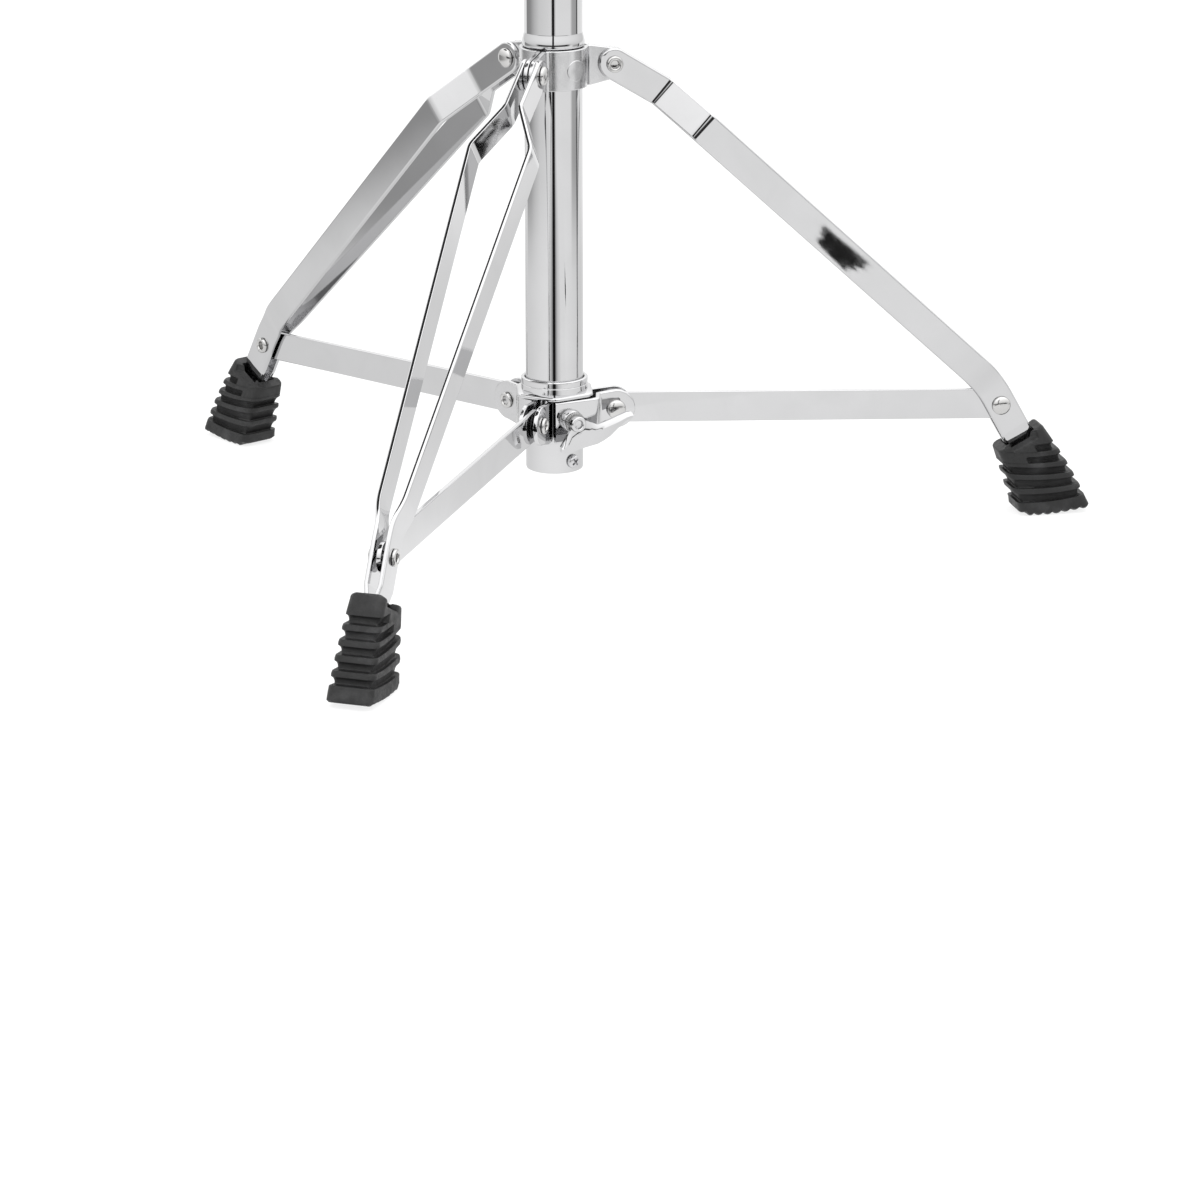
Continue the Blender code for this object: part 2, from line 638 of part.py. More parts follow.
def add_lock(slider):
    frame = leg_frame(0)
    axis = along_azimuth(LOCK_AZIMUTH, LOCK_Z)
    face = LOCK_FACE + PLATE_T / 2
    boss = [(SCREW_HOLE, face + GAP), (6.2, face + GAP), (6.2, face + 2.0), (5.4, face + 2.8), (SCREW_HOLE, face + 2.8)]
    add_body("lock_boss", turned(boss, 20, axis), FINISHES["chrome"], frame, slider)
    low = face + 2.8 + GAP
    ring = [(SCREW_HOLE, low), (5.3, low), (5.7, low + 0.4), (5.7, low + 1.4), (5.3, low + 1.8), (SCREW_HOLE, low + 1.8)]
    add_body("lock_washer", turned(ring, 20, axis), FINISHES["dark_steel"], frame, slider)
    hinge = pivot("lock_wing_hinge", frame, axis.translation, slider)
    hub_low = low + 1.8 + GAP
    add_wing_bolt("lock_wing_bolt", axis, TUBE_R + GAP, hub_low, hub_low + 4.2, hinge, frame)


# ---------------------------------------------------------------- height clamp


def clamp_rings():
    """A band round the tube's top, split at its two lugs."""
    band_r = TUBE_R + GAP + CLAMP_T / 2
    middle_z = sum(CLAMP_Z) / 2
    path, heights = ear_nose(CLAMP_BOLT_R, middle_z, CLAMP_LUG_R, CLAMP_LUG_Y)
    bend_points = fillet_path(CLAMP_LUG_Y, band_r, CLAMP_BEND)
    path += bend_points
    heights += [CLAMP_Z] * len(bend_points)
    last = math.degrees(math.atan2(bend_points[-1].y, bend_points[-1].x))
    middle = arc((0, 0), band_r, last, 360 - last, 30)[1:-1]
    mirrored = turn_path(path, 0, flip=True)
    whole = path + middle + list(reversed(mirrored))
    return plate_rings(whole, heights + [CLAMP_Z] * len(middle) + list(reversed(heights)), CLAMP_T)


def add_clamp():
    frame = leg_frame(CLAMP_AZIMUTH)
    spot = (CLAMP_BOLT_R, sum(CLAMP_Z) / 2)
    across = across_y(spot, 0)
    clamp = add_body("height_clamp", ribbon(clamp_rings()), FINISHES["chrome"], frame)
    boolean(clamp, add_cutter("clamp_hole", SCREW_HOLE, -12, 12, across, frame))
    face = CLAMP_LUG_Y + CLAMP_T / 2
    corners = [polar(5.8, 60 * i) for i in range(6)]
    nut = extruded(corners, face + GAP, face + GAP + 5)
    bmesh.ops.transform(nut, matrix=across, verts=nut.verts)
    clamp_nut = add_body("clamp_nut", nut, FINISHES["steel"], frame)
    boolean(clamp_nut, bpy.data.objects["clamp_hole"])
    point = (spot[0], 0, spot[1])
    hinge = pivot("clamp_wing_hinge", frame, point)
    outward = across @ Matrix.Rotation(math.radians(180), 4, "X") @ Matrix.Rotation(math.radians(-90), 4, "Z")
    hub_low = face + GAP
    add_wing_bolt("clamp_wing_bolt", outward, -face - 4.0, hub_low, hub_low + 5.0, hinge, frame)

    bush_r = TUBE_R - TUBE_WALL - GAP
    low, high = TUBE_TOP - 30, TUBE_TOP + GAP
    bush = [(BUSH_BORE, low), (bush_r, low), (bush_r, high), (TUBE_R + 1.6, high), (TUBE_R + 1.6, high + 2.2)]
    bush += [(TUBE_R + 0.9, high + 2.9), (BUSH_BORE + 0.6, high + 2.9), (BUSH_BORE, high + 2.3)]
    add_body("clamp_bush", turned(bush, 28), FINISHES["black_plastic"], leg_frame(0))


for leftover in list(bpy.data.objects):
    bpy.data.objects.remove(leftover)

FINISHES = {
    "chrome": material("chrome", (0.86, 0.86, 0.87), 0.07, 1.0),
    "steel": material("steel", (0.72, 0.72, 0.73), 0.22, 1.0),
    "rivet": material("rivet", (0.78, 0.78, 0.79), 0.14, 1.0),
    "dark_steel": material("dark_steel", (0.12, 0.12, 0.12), 0.35, 1.0),
    "black_plastic": material("black_plastic", (0.02, 0.02, 0.02), 0.45, 0.0),
    "rubber": material("rubber", (0.022, 0.022, 0.023), 0.62, 0.0),
}
CUTTERS = {
    "lock": add_cutter("lock_hole", SCREW_HOLE, 12, 26, along_azimuth(LOCK_AZIMUTH, LOCK_Z), leg_frame(0)),
}
for leg_name, leg_azimuth in LEG_AZIMUTHS.items():
    place = leg_frame(leg_azimuth)
    for label, spot in (("upper", LEG_PIVOT), ("lower", BRACE_HUB), ("brace", BRACE_LEG)):
        cutter_name = f"{label}_{leg_name}"
        CUTTERS[cutter_name] = add_cutter(cutter_name, HOLE_R, -12, 12, across_y(spot, 0), place)

lower_slider = pivot("lower_hub_slide", leg_frame(0), (0, 0, BRACE_HUB[1]))
add_tube()
add_upper_hub()
add_lower_hub(lower_slider)
add_lock(lower_slider)
for leg_name, leg_azimuth in LEG_AZIMUTHS.items():
    add_leg(leg_name, leg_azimuth)
    add_brace(leg_name, leg_azimuth, lower_slider)
add_clamp()
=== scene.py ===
"""The looks of a folding tripod base: fine chrome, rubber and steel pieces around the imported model.

Shapes are drawn in millimetres. Each leg has its own frame: X out from the tube, Y across the leg and Z up.
"""
import json
import math

import bmesh
import bpy
from mathutils import Matrix, Vector


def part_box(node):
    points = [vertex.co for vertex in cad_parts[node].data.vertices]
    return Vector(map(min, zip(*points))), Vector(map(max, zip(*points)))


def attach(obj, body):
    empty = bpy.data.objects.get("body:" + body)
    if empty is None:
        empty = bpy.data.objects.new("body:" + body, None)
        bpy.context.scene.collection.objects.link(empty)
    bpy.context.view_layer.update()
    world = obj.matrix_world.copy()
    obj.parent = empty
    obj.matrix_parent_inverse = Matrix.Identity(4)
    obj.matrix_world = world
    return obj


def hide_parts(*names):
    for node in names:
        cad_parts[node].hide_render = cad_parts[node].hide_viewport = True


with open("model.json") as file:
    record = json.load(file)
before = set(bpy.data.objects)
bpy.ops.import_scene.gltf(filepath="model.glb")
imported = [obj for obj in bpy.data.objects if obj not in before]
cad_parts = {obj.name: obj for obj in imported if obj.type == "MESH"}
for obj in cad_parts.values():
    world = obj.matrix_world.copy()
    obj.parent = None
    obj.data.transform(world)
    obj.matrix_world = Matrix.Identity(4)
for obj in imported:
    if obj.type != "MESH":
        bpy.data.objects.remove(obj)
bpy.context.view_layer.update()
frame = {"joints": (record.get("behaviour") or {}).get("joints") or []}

MM = 0.001
GAP = 0.3
JOINTS = {joint["name"]: joint for joint in frame["joints"]}
LEGS = ("front", "right", "left")
NEXT_LEG = {"front": "right", "right": "left", "left": "front"}


def middle(node):
    low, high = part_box(node)
    return (low + high) / 2 / MM


def span(node):
    low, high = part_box(node)
    return low.z / MM, high.z / MM


TUBE_Y = middle("base_tube").y


def leg_azimuth(leg):
    """The leg's heading from its hinge, whose axis runs along the leg frame's Y."""
    axis = JOINTS[leg + "_leg_hinge"]["axis"]
    return math.degrees(math.atan2(-axis[0], axis[1]))


def out_and_up(point):
    """A point in metres as (distance from the tube's axis, height) in millimetres."""
    return math.hypot(point[0] / MM, point[1] / MM - TUBE_Y), point[2] / MM


AZIMUTHS = {leg: leg_azimuth(leg) for leg in LEGS}
TO_NEXT = {leg: (AZIMUTHS[NEXT_LEG[leg]] - AZIMUTHS[leg]) % 360 for leg in LEGS}
# The pivots of the front leg; the other legs are the same
LEG_PIVOT = out_and_up(JOINTS["front_leg_hinge"]["pos_m"])
BRACE_HUB = out_and_up(JOINTS["front_brace_hinge"]["pos_m"])
BRACE_LEG = out_and_up([value * MM for value in middle("front_brace_rivet_head")])

# Tube
TUBE_R = 14.3
TUBE_WALL = 1.2
TUBE_BORE_R = TUBE_R - TUBE_WALL
TUBE_BOTTOM, TUBE_TOP = span("base_tube")
BEAD_Z = (249.9, 257.0)
BEAD_RISE = 1.1
BEAD_SKEW = 0.49
STOP_AZIMUTH = -33.0
STOP_Z = middle("stop_screw").z

# Leg straps, as (out, up) bends in the side view and half the space between the two straps
STRAP_W = 15.4
STRAP_T = 2.2
STRAP_EDGES = (0.95, 0.35)
SPLAY_START = (53.6, 225.6)
SPLAY_END = (71.2, 209.8)
KNEE = (224.3, 69.5)
KNEE_R = 60.0
THIGH_ANGLE = -31.5
SPLAY_ANGLE = -42.0
SHIN_ANGLE = -60.5
STRAP_END = 249.0
PINCH = (238.0, 242.0)
SPREAD_TOP = 3.8
SPREAD_WIDE = 15.3
SPREAD_KNEE = 6.2
SPREAD_SHIN = 3.6
SPREAD_FOOT = 1.8
# The radius of each bend that spreads the straps or closes them in, from the pivot down
BEND_RADII = (0, 9.0, 9.0, 400, 34, 26, 4, 4, 0)

# Braces and hubs
BRACE_T = 2.4
BRACE_EDGES = (0.55, 0.45)
PLATE_T = 2.2
UPPER_BAND = (230.2, 249.8)
UPPER_EAR_Y = 1.4
UPPER_EAR_R = 7.6
UPPER_BEND = 3.0
STUD_R = 5.2
STUD_Z = 239.6
LOWER_BAND = (55.6, 76.2)
LOWER_EAR_Y = 3.9
LOWER_EAR_R = 9.8
LOWER_BEND = 3.4
SLEEVE_R = 16.5
SLEEVE_Z = (54.0, 85.3)
CAP_PLATE = (76.6, 78.6)
CAP_APOTHEM = 18.7
CAP_TURN = -39.0
LOCK_AZIMUTH = -46.5
LOCK_Z = 66.6
LOCK_FACE = 18.5
LOCK_EDGE = 8.4
LOCK_FACE_END = 15.0

# Fasteners
RIVET_R = 2.5
HOLE_R = 2.8
DOME_R = 4.8
ROLL_R = 4.2
SCREW_R = 3.0
SPACER_R = 6.4
# The wing, as (along, top edge, ridge, bottom edge)
WING_ROWS = ((-8.9, -10.8, -12.0, -13.4), (-8.0, -9.6, -11.4, -14.2), (-6.5, -7.2, -10.4, -14.4),
             (-3.4, -2.6, -8.6, -14.2), (0.0, -0.5, -7.2, -13.5), (3.6, 1.4, -5.8, -12.7), (7.3, 0.0, -4.8, -12.1),
             (11.0, -1.6, -4.4, -11.6), (14.5, -0.7, -3.4, -10.2), (18.0, 0.2, -2.4, -8.3), (22.0, 1.5, -1.2, -5.0),
             (26.4, 2.8, 0.6, -1.7), (29.0, 2.9, 1.2, -0.6), (30.1, 2.0, 1.1, 0.2))

# Feet, as (out, up) corners in the side view
FOOT_TOP_INNER = (229.2, 34.6)
FOOT_TOP_OUTER = (252.3, 46.8)
FOOT_TOE = (277.0, 5.0)
FOOT_HEEL = (240.0, 4.0)
FOOT_W_TOP = 17.0
FOOT_W_BOTTOM = 22.6
FOOT_CORNER_R = 3.6
# Half the pocket's length, for the strap ends
POCKET_REACH = 8.3
GROOVE_DEPTH = 2.4
GROOVE_DEPTH_TOE = 0.6
# Each groove as heights (top at the heel and the toe, foot at the heel and the toe) and where it starts
GROOVES = ((38.2, 38.2, 34.2, 34.2, 0.60), (32.0, 32.2, 28.5, 28.2, 0.38), (27.0, 26.0, 22.5, 22.0, None),
           (20.3, 19.8, 14.6, 15.8, None), (12.2, 13.6, 6.8, 9.8, None))

# Height clamp
CLAMP_Z = (426.0, 448.0)
CLAMP_T = 2.4
CLAMP_LUG_Y = 3.3
CLAMP_LUG_R = 8.6
CLAMP_BOLT_R = 27.0
CLAMP_AZIMUTH = -30.0
BUSH_BORE = 11.3
NUT_APOTHEM = 5.02

SIDES = ((1, "a"), (-1, "b"))
# Angles that draw a rounded edge and the round end of a bar
ARC = (0, 30, 60, 90)
NOSE = (86, 78, 70, 62, 54, 46, 38, 30, 22, 14, 6, 0)
SHARP = 42


def polar(radius, degrees):
    turn = math.radians(degrees)
    return Vector((radius * math.cos(turn), radius * math.sin(turn)))


def turn_by(degrees, axis="Z"):
    return Matrix.Rotation(math.radians(degrees), 4, axis)


def leg_frame(azimuth):
    return Matrix.Translation((0, TUBE_Y, 0)) @ turn_by(azimuth)


def across_y(point):
    """A frame whose Z axis runs along Y through the point (x, z)."""
    return Matrix.Translation((point[0], 0, point[1])) @ turn_by(-90, "X")


def along_azimuth(azimuth, height):
    """A frame whose Z axis points out from the tube's axis at this height."""
    return Matrix.Translation((0, 0, height)) @ turn_by(azimuth) @ turn_by(90, "Y")


# Materials


def new_material(name):
    made = bpy.data.materials.new(name)
    made.use_nodes = True
    tree = made.node_tree
    return made, tree, tree.nodes["Principled BSDF"]


def noise_node(tree, scale, detail=4.0, stretch=(1, 1, 1), distortion=0.0):
    coords = tree.nodes.new("ShaderNodeTexCoord")
    place = tree.nodes.new("ShaderNodeMapping")
    place.inputs["Scale"].default_value = stretch
    grain = tree.nodes.new("ShaderNodeTexNoise")
    grain.inputs["Scale"].default_value = scale
    grain.inputs["Detail"].default_value = detail
    grain.inputs["Distortion"].default_value = distortion
    tree.links.new(coords.outputs["Object"], place.inputs["Vector"])
    tree.links.new(place.outputs["Vector"], grain.inputs["Vector"])
    return grain.outputs["Fac"]


def ramp_node(tree, value, stops):
    ramp = tree.nodes.new("ShaderNodeValToRGB")
    while len(ramp.color_ramp.elements) < len(stops):
        ramp.color_ramp.elements.new(0.5)
    for element, (position, color) in zip(ramp.color_ramp.elements, stops):
        element.position = position
        element.color = (*color, 1.0) if hasattr(color, "__len__") else (color, color, color, 1.0)
    tree.links.new(value, ramp.inputs["Fac"])
    return ramp.outputs["Color"]


def bump_node(tree, heights):
    """Adds up (height, distance in metres) pairs into one bump."""
    normal = None
    for height, distance in heights:
        bump = tree.nodes.new("ShaderNodeBump")
        bump.inputs["Strength"].default_value = 1.0
        bump.inputs["Distance"].default_value = distance
        tree.links.new(height, bump.inputs["Height"])
        if normal is not None:
            tree.links.new(normal, bump.inputs["Normal"])
        normal = bump.outputs["Normal"]
    return normal


def metal(name, color, dull, rough, wave, grain):
    """A plated or bare metal: slow waves from stamping, fine polishing grain, and smudges that dull it."""
    made, tree, shader = new_material(name)
    smudge = noise_node(tree, 38, 6, distortion=0.6)
    shade = ramp_node(tree, smudge, [(0.30, dull), (0.62, color)])
    tree.links.new(shade, shader.inputs["Base Color"])
    polish = ramp_node(tree, noise_node(tree, 210, 5), [(0.35, rough[0]), (0.75, rough[1])])
    tree.links.new(polish, shader.inputs["Roughness"])
    shader.inputs["Metallic"].default_value = 1.0
    slow = noise_node(tree, 26, 1)
    fine = noise_node(tree, 2600, 3)
    tree.links.new(bump_node(tree, [(slow, wave), (fine, grain)]), shader.inputs["Normal"])
    return made


def rubber(name):
    """Moulded black rubber: pebble grain, paler worn blooms and uneven sheen."""
    made, tree, shader = new_material(name)
    bloom = noise_node(tree, 95, 7, distortion=0.4)
    tones = [(0.30, (0.006, 0.006, 0.006)), (0.55, (0.012, 0.012, 0.0124)), (0.78, (0.036, 0.036, 0.037))]
    shade = ramp_node(tree, bloom, tones)
    tree.links.new(shade, shader.inputs["Base Color"])
    sheen = ramp_node(tree, noise_node(tree, 300, 4), [(0.3, 0.42), (0.7, 0.60)])
    tree.links.new(sheen, shader.inputs["Roughness"])
    shader.inputs["Specular IOR Level"].default_value = 0.42
    pebble = noise_node(tree, 1500, 4)
    swell = noise_node(tree, 240, 3)
    tree.links.new(bump_node(tree, [(swell, 0.00020), (pebble, 0.00016)]), shader.inputs["Normal"])
    return made


def plastic(name):
    made, tree, shader = new_material(name)
    tones = [(0.3, (0.014, 0.014, 0.015)), (0.75, (0.030, 0.030, 0.031))]
    shade = ramp_node(tree, noise_node(tree, 140, 5), tones)
    tree.links.new(shade, shader.inputs["Base Color"])
    sheen = ramp_node(tree, noise_node(tree, 420, 4), [(0.3, 0.34), (0.7, 0.50)])
    tree.links.new(sheen, shader.inputs["Roughness"])
    tree.links.new(bump_node(tree, [(noise_node(tree, 1900, 3), 0.00006)]), shader.inputs["Normal"])
    return made


LOOKS = {
    "chrome": metal("chrome", (0.600, 0.600, 0.606), (0.575, 0.575, 0.580), (0.022, 0.052), 8e-5, 1.2e-6),
    "stamped": metal("stamped", (0.610, 0.610, 0.616), (0.555, 0.555, 0.560), (0.17, 0.26), 6e-5, 4e-6),
    "rivet": metal("rivet", (0.590, 0.586, 0.580), (0.54, 0.536, 0.53), (0.09, 0.17), 4e-5, 2.5e-6),
    "steel": metal("steel", (0.58, 0.58, 0.59), (0.50, 0.50, 0.51), (0.17, 0.28), 4e-5, 4e-6),
    "dark_steel": metal("dark_steel", (0.34, 0.34, 0.34), (0.24, 0.24, 0.24), (0.20, 0.32), 3e-5, 6e-6),
    "rubber": rubber("rubber"),
    "black_plastic": plastic("black_plastic"),
}


# Mesh tools


def add_object(name, data):
    made = bpy.data.objects.new(name, data)
    bpy.context.scene.collection.objects.link(made)
    return made


def moved(bm, matrix):
    bmesh.ops.transform(bm, matrix=matrix, verts=bm.verts)
    return bm


def placed_mesh(name, bm, place):
    """Turns a shape drawn in millimetres into a mesh in its place, in metres."""
    moved(bm, place)
    bmesh.ops.scale(bm, vec=(MM, MM, MM), verts=bm.verts)
    bmesh.ops.remove_doubles(bm, verts=bm.verts, dist=1e-7)
    bmesh.ops.recalc_face_normals(bm, faces=bm.faces)
    mesh = bpy.data.meshes.new(name)
    bm.to_mesh(mesh)
    bm.free()
    return mesh


def smooth(mesh, sharp=SHARP):
    mesh.shade_smooth()
    mesh.set_sharp_from_angle(angle=math.radians(sharp))


def add_piece(name, bm, look, body, replaced, place, sharp=SHARP):
    """Adds a shape, smooth shaded, as the piece that stands for CAD nodes."""
    mesh = placed_mesh(name, bm, place)
    mesh.materials.append(LOOKS[look])
    smooth(mesh, sharp)
    piece = add_object(name, mesh)
    even = piece.modifiers.new("even", "WEIGHTED_NORMAL")
    even.keep_sharp = True
    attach(piece, body)
    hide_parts(*replaced)
    return piece


def cut(piece, cutters, place):
    """Takes cutters, drawn in millimetres in the same frame as the piece was, out of its mesh."""
    for bm in cutters:
        mesh = placed_mesh("cutter", bm, place)
        cutter = add_object("cutter", mesh)
        change = piece.modifiers.new("cut", "BOOLEAN")
        change.operation = "DIFFERENCE"
        change.solver = "EXACT"
        change.object = cutter
        bpy.context.view_layer.update()
        piece.modifiers["even"].show_viewport = False
        done = bpy.data.meshes.new_from_object(piece.evaluated_get(bpy.context.evaluated_depsgraph_get()))
        piece.modifiers["even"].show_viewport = True
        piece.modifiers.remove(change)
        old = piece.data
        piece.data = done
        bpy.data.meshes.remove(old)
        bpy.data.objects.remove(cutter)
        bpy.data.meshes.remove(mesh)
    smooth(piece.data)


def soften(profile, radius, steps=3):
    """Rounds the corners of a closed (radius, height) outline; points on the axis stay."""
    count = len(profile)
    made = []
    for i, point in enumerate(profile):
        spot = Vector(point)
        before = Vector(profile[i - 1]) - spot
        after = Vector(profile[(i + 1) % count]) - spot
        bend = before.angle(-after, 0) if before.length and after.length else 0
        if spot.x == 0 or bend < math.radians(24):
            made.append(spot)
            continue
        reach = min(radius * math.tan(bend / 2), 0.45 * before.length, 0.45 * after.length)
        start = spot + before.normalized() * reach
        end = spot + after.normalized() * reach
        for k in range(steps + 1):
            t = k / steps
            made.append(start * (1 - t) ** 2 + spot * 2 * t * (1 - t) + end * t ** 2)
    return made


def add_face(bm, corners):
    """A face through corners, of which two may be the same point."""
    corners = [v for k, v in enumerate(corners) if v not in corners[:k]]
    if len(corners) > 2:
        bm.faces.new(corners)


def spun(profile, segments, axis_frame=Matrix(), round_by=0.25):
    """Spins a closed outline of (radius, height) points round Z."""
    bm = bmesh.new()
    rings = []
    for radius, height in soften(profile, round_by):
        if radius < 1e-6:
            rings.append([bm.verts.new((0, 0, height))] * segments)
            continue
        ring = [polar(radius, 360 * i / segments) for i in range(segments)]
        rings.append([bm.verts.new((p.x, p.y, height)) for p in ring])
    for lower, upper in zip(rings, rings[1:] + rings[:1]):
        for i in range(segments):
            j = (i + 1) % segments
            add_face(bm, [lower[i], lower[j], upper[j], upper[i]])
    return moved(bm, axis_frame)


def skin(rings, closed_ends=True):
    """Faces through a row of rings that have the same number of points."""
    bm = bmesh.new()
    rows = [[bm.verts.new(point) for point in ring] for ring in rings]
    for near, far in zip(rows, rows[1:]):
        for i in range(len(near)):
            j = (i + 1) % len(near)
            bm.faces.new((near[i], near[j], far[j], far[i]))
    if closed_ends:
        bm.faces.new(rows[0])
        bm.faces.new(reversed(rows[-1]))
    return bm


def looped(rings):
    """Faces through rings, and from the last ring back to the first."""
    return skin([*rings, rings[0]], closed_ends=False)


def joined(*parts):
    """Several meshes as one."""
    whole = parts[0]
    for part in parts[1:]:
        mesh = bpy.data.meshes.new("part")
        part.to_mesh(mesh)
        part.free()
        whole.from_mesh(mesh)
        bpy.data.meshes.remove(mesh)
    return whole


def bar_ring(spot, across, normal, along, half, thickness, lean=0.0, rolled=0.75, burr=0.3):
    """A flat bar's section with corners rolled on the side that the normal points to, sharper on the other."""
    rolled, burr = min(rolled, half * 0.45), min(burr, half * 0.45)
    turn = math.radians(lean)
    ring = []
    for side in (1, -1):
        out = across * side * math.cos(turn) - along * math.sin(turn)
        edge = []
        for degrees in reversed(ARC):
            a = math.radians(degrees)
            edge.append((rolled * (1 - math.cos(a)), thickness / 2 - rolled * (1 - math.sin(a))))
        for degrees in ARC:
            a = math.radians(degrees)
            edge.append((burr * (1 - math.cos(a)), -thickness / 2 + burr * (1 - math.sin(a))))
        points = [spot + across * side * half - out * inset + normal * height for inset, height in edge]
        ring += points if side == 1 else list(reversed(points))
    return ring


# Tube


def add_tube():
    place = leg_frame(0)
    bead = []
    for i in range(25):
        share = i / 24
        swell = BEAD_RISE * math.sin(math.pi * share ** BEAD_SKEW)
        bead.append((TUBE_R + swell, BEAD_Z[0] + (BEAD_Z[1] - BEAD_Z[0]) * share))
    outline = [(TUBE_R - 0.9, TUBE_BOTTOM), (TUBE_R - 0.25, TUBE_BOTTOM + 0.35), (TUBE_R, TUBE_BOTTOM + 1.3)]
    outline += bead + [(TUBE_R, TUBE_TOP), (TUBE_BORE_R, TUBE_TOP), (TUBE_BORE_R, TUBE_BOTTOM)]
    add_piece("tube", spun(outline, 144, round_by=0.3), "chrome", "base", ["base_tube"], place)

    plug_r = TUBE_BORE_R - GAP
    low = TUBE_BOTTOM + 1.4
    plug = [(0, low), (plug_r - 4, low), (plug_r - 3.4, low + 0.5), (plug_r - 1, low + 0.5),
            (plug_r, low + 1.2), (plug_r, STOP_Z - 3.2), (plug_r - 2, STOP_Z - 3.2), (plug_r - 2, low + 2),
            (0, low + 2)]
    add_piece("end_plug", spun(plug, 72), "black_plastic", "base", ["tube_end_plug"], place)

    axis = along_azimuth(STOP_AZIMUTH, STOP_Z)
    face = TUBE_R + GAP
    screw = [(0, 9.5), (1.6, 9.5), (2.0, 10.0), (2.0, face), (3.5, face), (3.5, face + 0.7), (3.3, face + 1.3),
             (2.8, face + 1.75), (2.0, face + 2.05), (1.0, face + 2.18), (0, face + 2.2)]
    head = add_piece("stop_screw_head", spun(screw, 64, axis, 0.15), "steel", "base", ["stop_screw"], place)
    slot = [[(x, y, z) for x, y in ((-r, -w), (r, -w), (r, w), (-r, w))]
            for z, r, w in ((face + 0.6, 0.9, 0.25), (face + 3.0, 2.9, 0.62))]
    cut(head, [moved(skin(slot), axis @ turn_by(turn)) for turn in (38, 128)], place)


# Hubs


def plate_bar(stations, thickness, rolled=0.6, burr=0.35):
    """An upright plate through (plan point, low, high, lean) stations, its outer face on the path's right."""
    rings = []
    for i, (point, low, high, lean) in enumerate(stations):
        before = stations[max(i - 1, 0)][0]
        after = stations[min(i + 1, len(stations) - 1)][0]
        into = (point - before).normalized() if i else (after - point).normalized()
        out = (after - point).normalized() if i < len(stations) - 1 else into
        along = (into + out).normalized()
        reach = 1 / max(along.dot(into), 0.5)
        normal = Vector((along.y, -along.x, 0)) * reach
        spot = Vector((point.x, point.y, (low + high) / 2))
        along = Vector((along.x, along.y, 0))
        rings.append(bar_ring(spot, Vector((0, 0, 1)), normal, along, (high - low) / 2, thickness, lean, rolled,
                              burr))
    return skin(rings)


def ear(pivot_point, radius, ear_y):
    """Stations of an ear's round end, from its tip in to its pivot."""
    made = []
    for lean in NOSE:
        turn = math.radians(lean)
        half = radius * math.cos(turn)
        spot = Vector((pivot_point[0] + radius * math.sin(turn), ear_y))
        made.append((spot, pivot_point[1] - half, pivot_point[1] + half, lean))
    return made


def arc(center, radius, start, end, steps):
    return [Vector(center) + polar(radius, start + (end - start) * i / steps) for i in range(steps + 1)]


def mirrored(stations, degrees):
    """The same stations seen in a mirror and turned on by an angle, in reverse order."""
    spin = Matrix.Rotation(math.radians(degrees), 2)
    return [(spin @ Vector((p.x, -p.y)), low, high, -lean) for p, low, high, lean in reversed(stations)]


def eared_band(pivot_point, ear_y, ear_r, band_r, bend, band, far_turn, thickness, steps=40):
    """An ear, a length of band round the tube and the mirrored ear at its other end."""
    bend_x = math.sqrt((band_r + bend) ** 2 - (ear_y + bend) ** 2)
    meet = math.degrees(math.atan2(ear_y + bend, bend_x)) - 180
    near = ear(pivot_point, ear_r, ear_y)
    near += [(p, *band, 0) for p in arc((bend_x, ear_y + bend), bend, -90, meet, 8)]
    last = math.degrees(math.atan2(near[-1][0].y, near[-1][0].x))
    around = [(p, *band, 0) for p in arc((0, 0), band_r, last, far_turn - last, steps)[1:-1]]
    return plate_bar(near + around + mirrored(near, far_turn), thickness)


def add_upper_hub():
    band_r = TUBE_R + GAP + PLATE_T / 2
    face = band_r + PLATE_T / 2
    names = {"front": "front_right", "right": "back", "left": "front_left"}
    for leg in LEGS:
        place = leg_frame(AZIMUTHS[leg])
        plate = eared_band(LEG_PIVOT, UPPER_EAR_Y, UPPER_EAR_R, band_r, UPPER_BEND, UPPER_BAND, TO_NEXT[leg],
                           PLATE_T)
        name = names[leg]
        add_piece("upper_plate_" + name, plate, "stamped", "base", ["upper_hub_plate_" + name], place)
        top = face + 0.3
        stud = spun([(0, face - 1), (STUD_R, face - 1), (STUD_R, face + 0.1), (STUD_R - 0.3, top), (0, top)], 64)
        for vert in stud.verts:
            vert.co.z -= vert.co.y ** 2 / (2 * face)
        moved(stud, along_azimuth(TO_NEXT[leg] / 2, STUD_Z))
        add_piece("upper_stud_" + name, stud, "stamped", "base", ["upper_hub_stud_" + name], place)


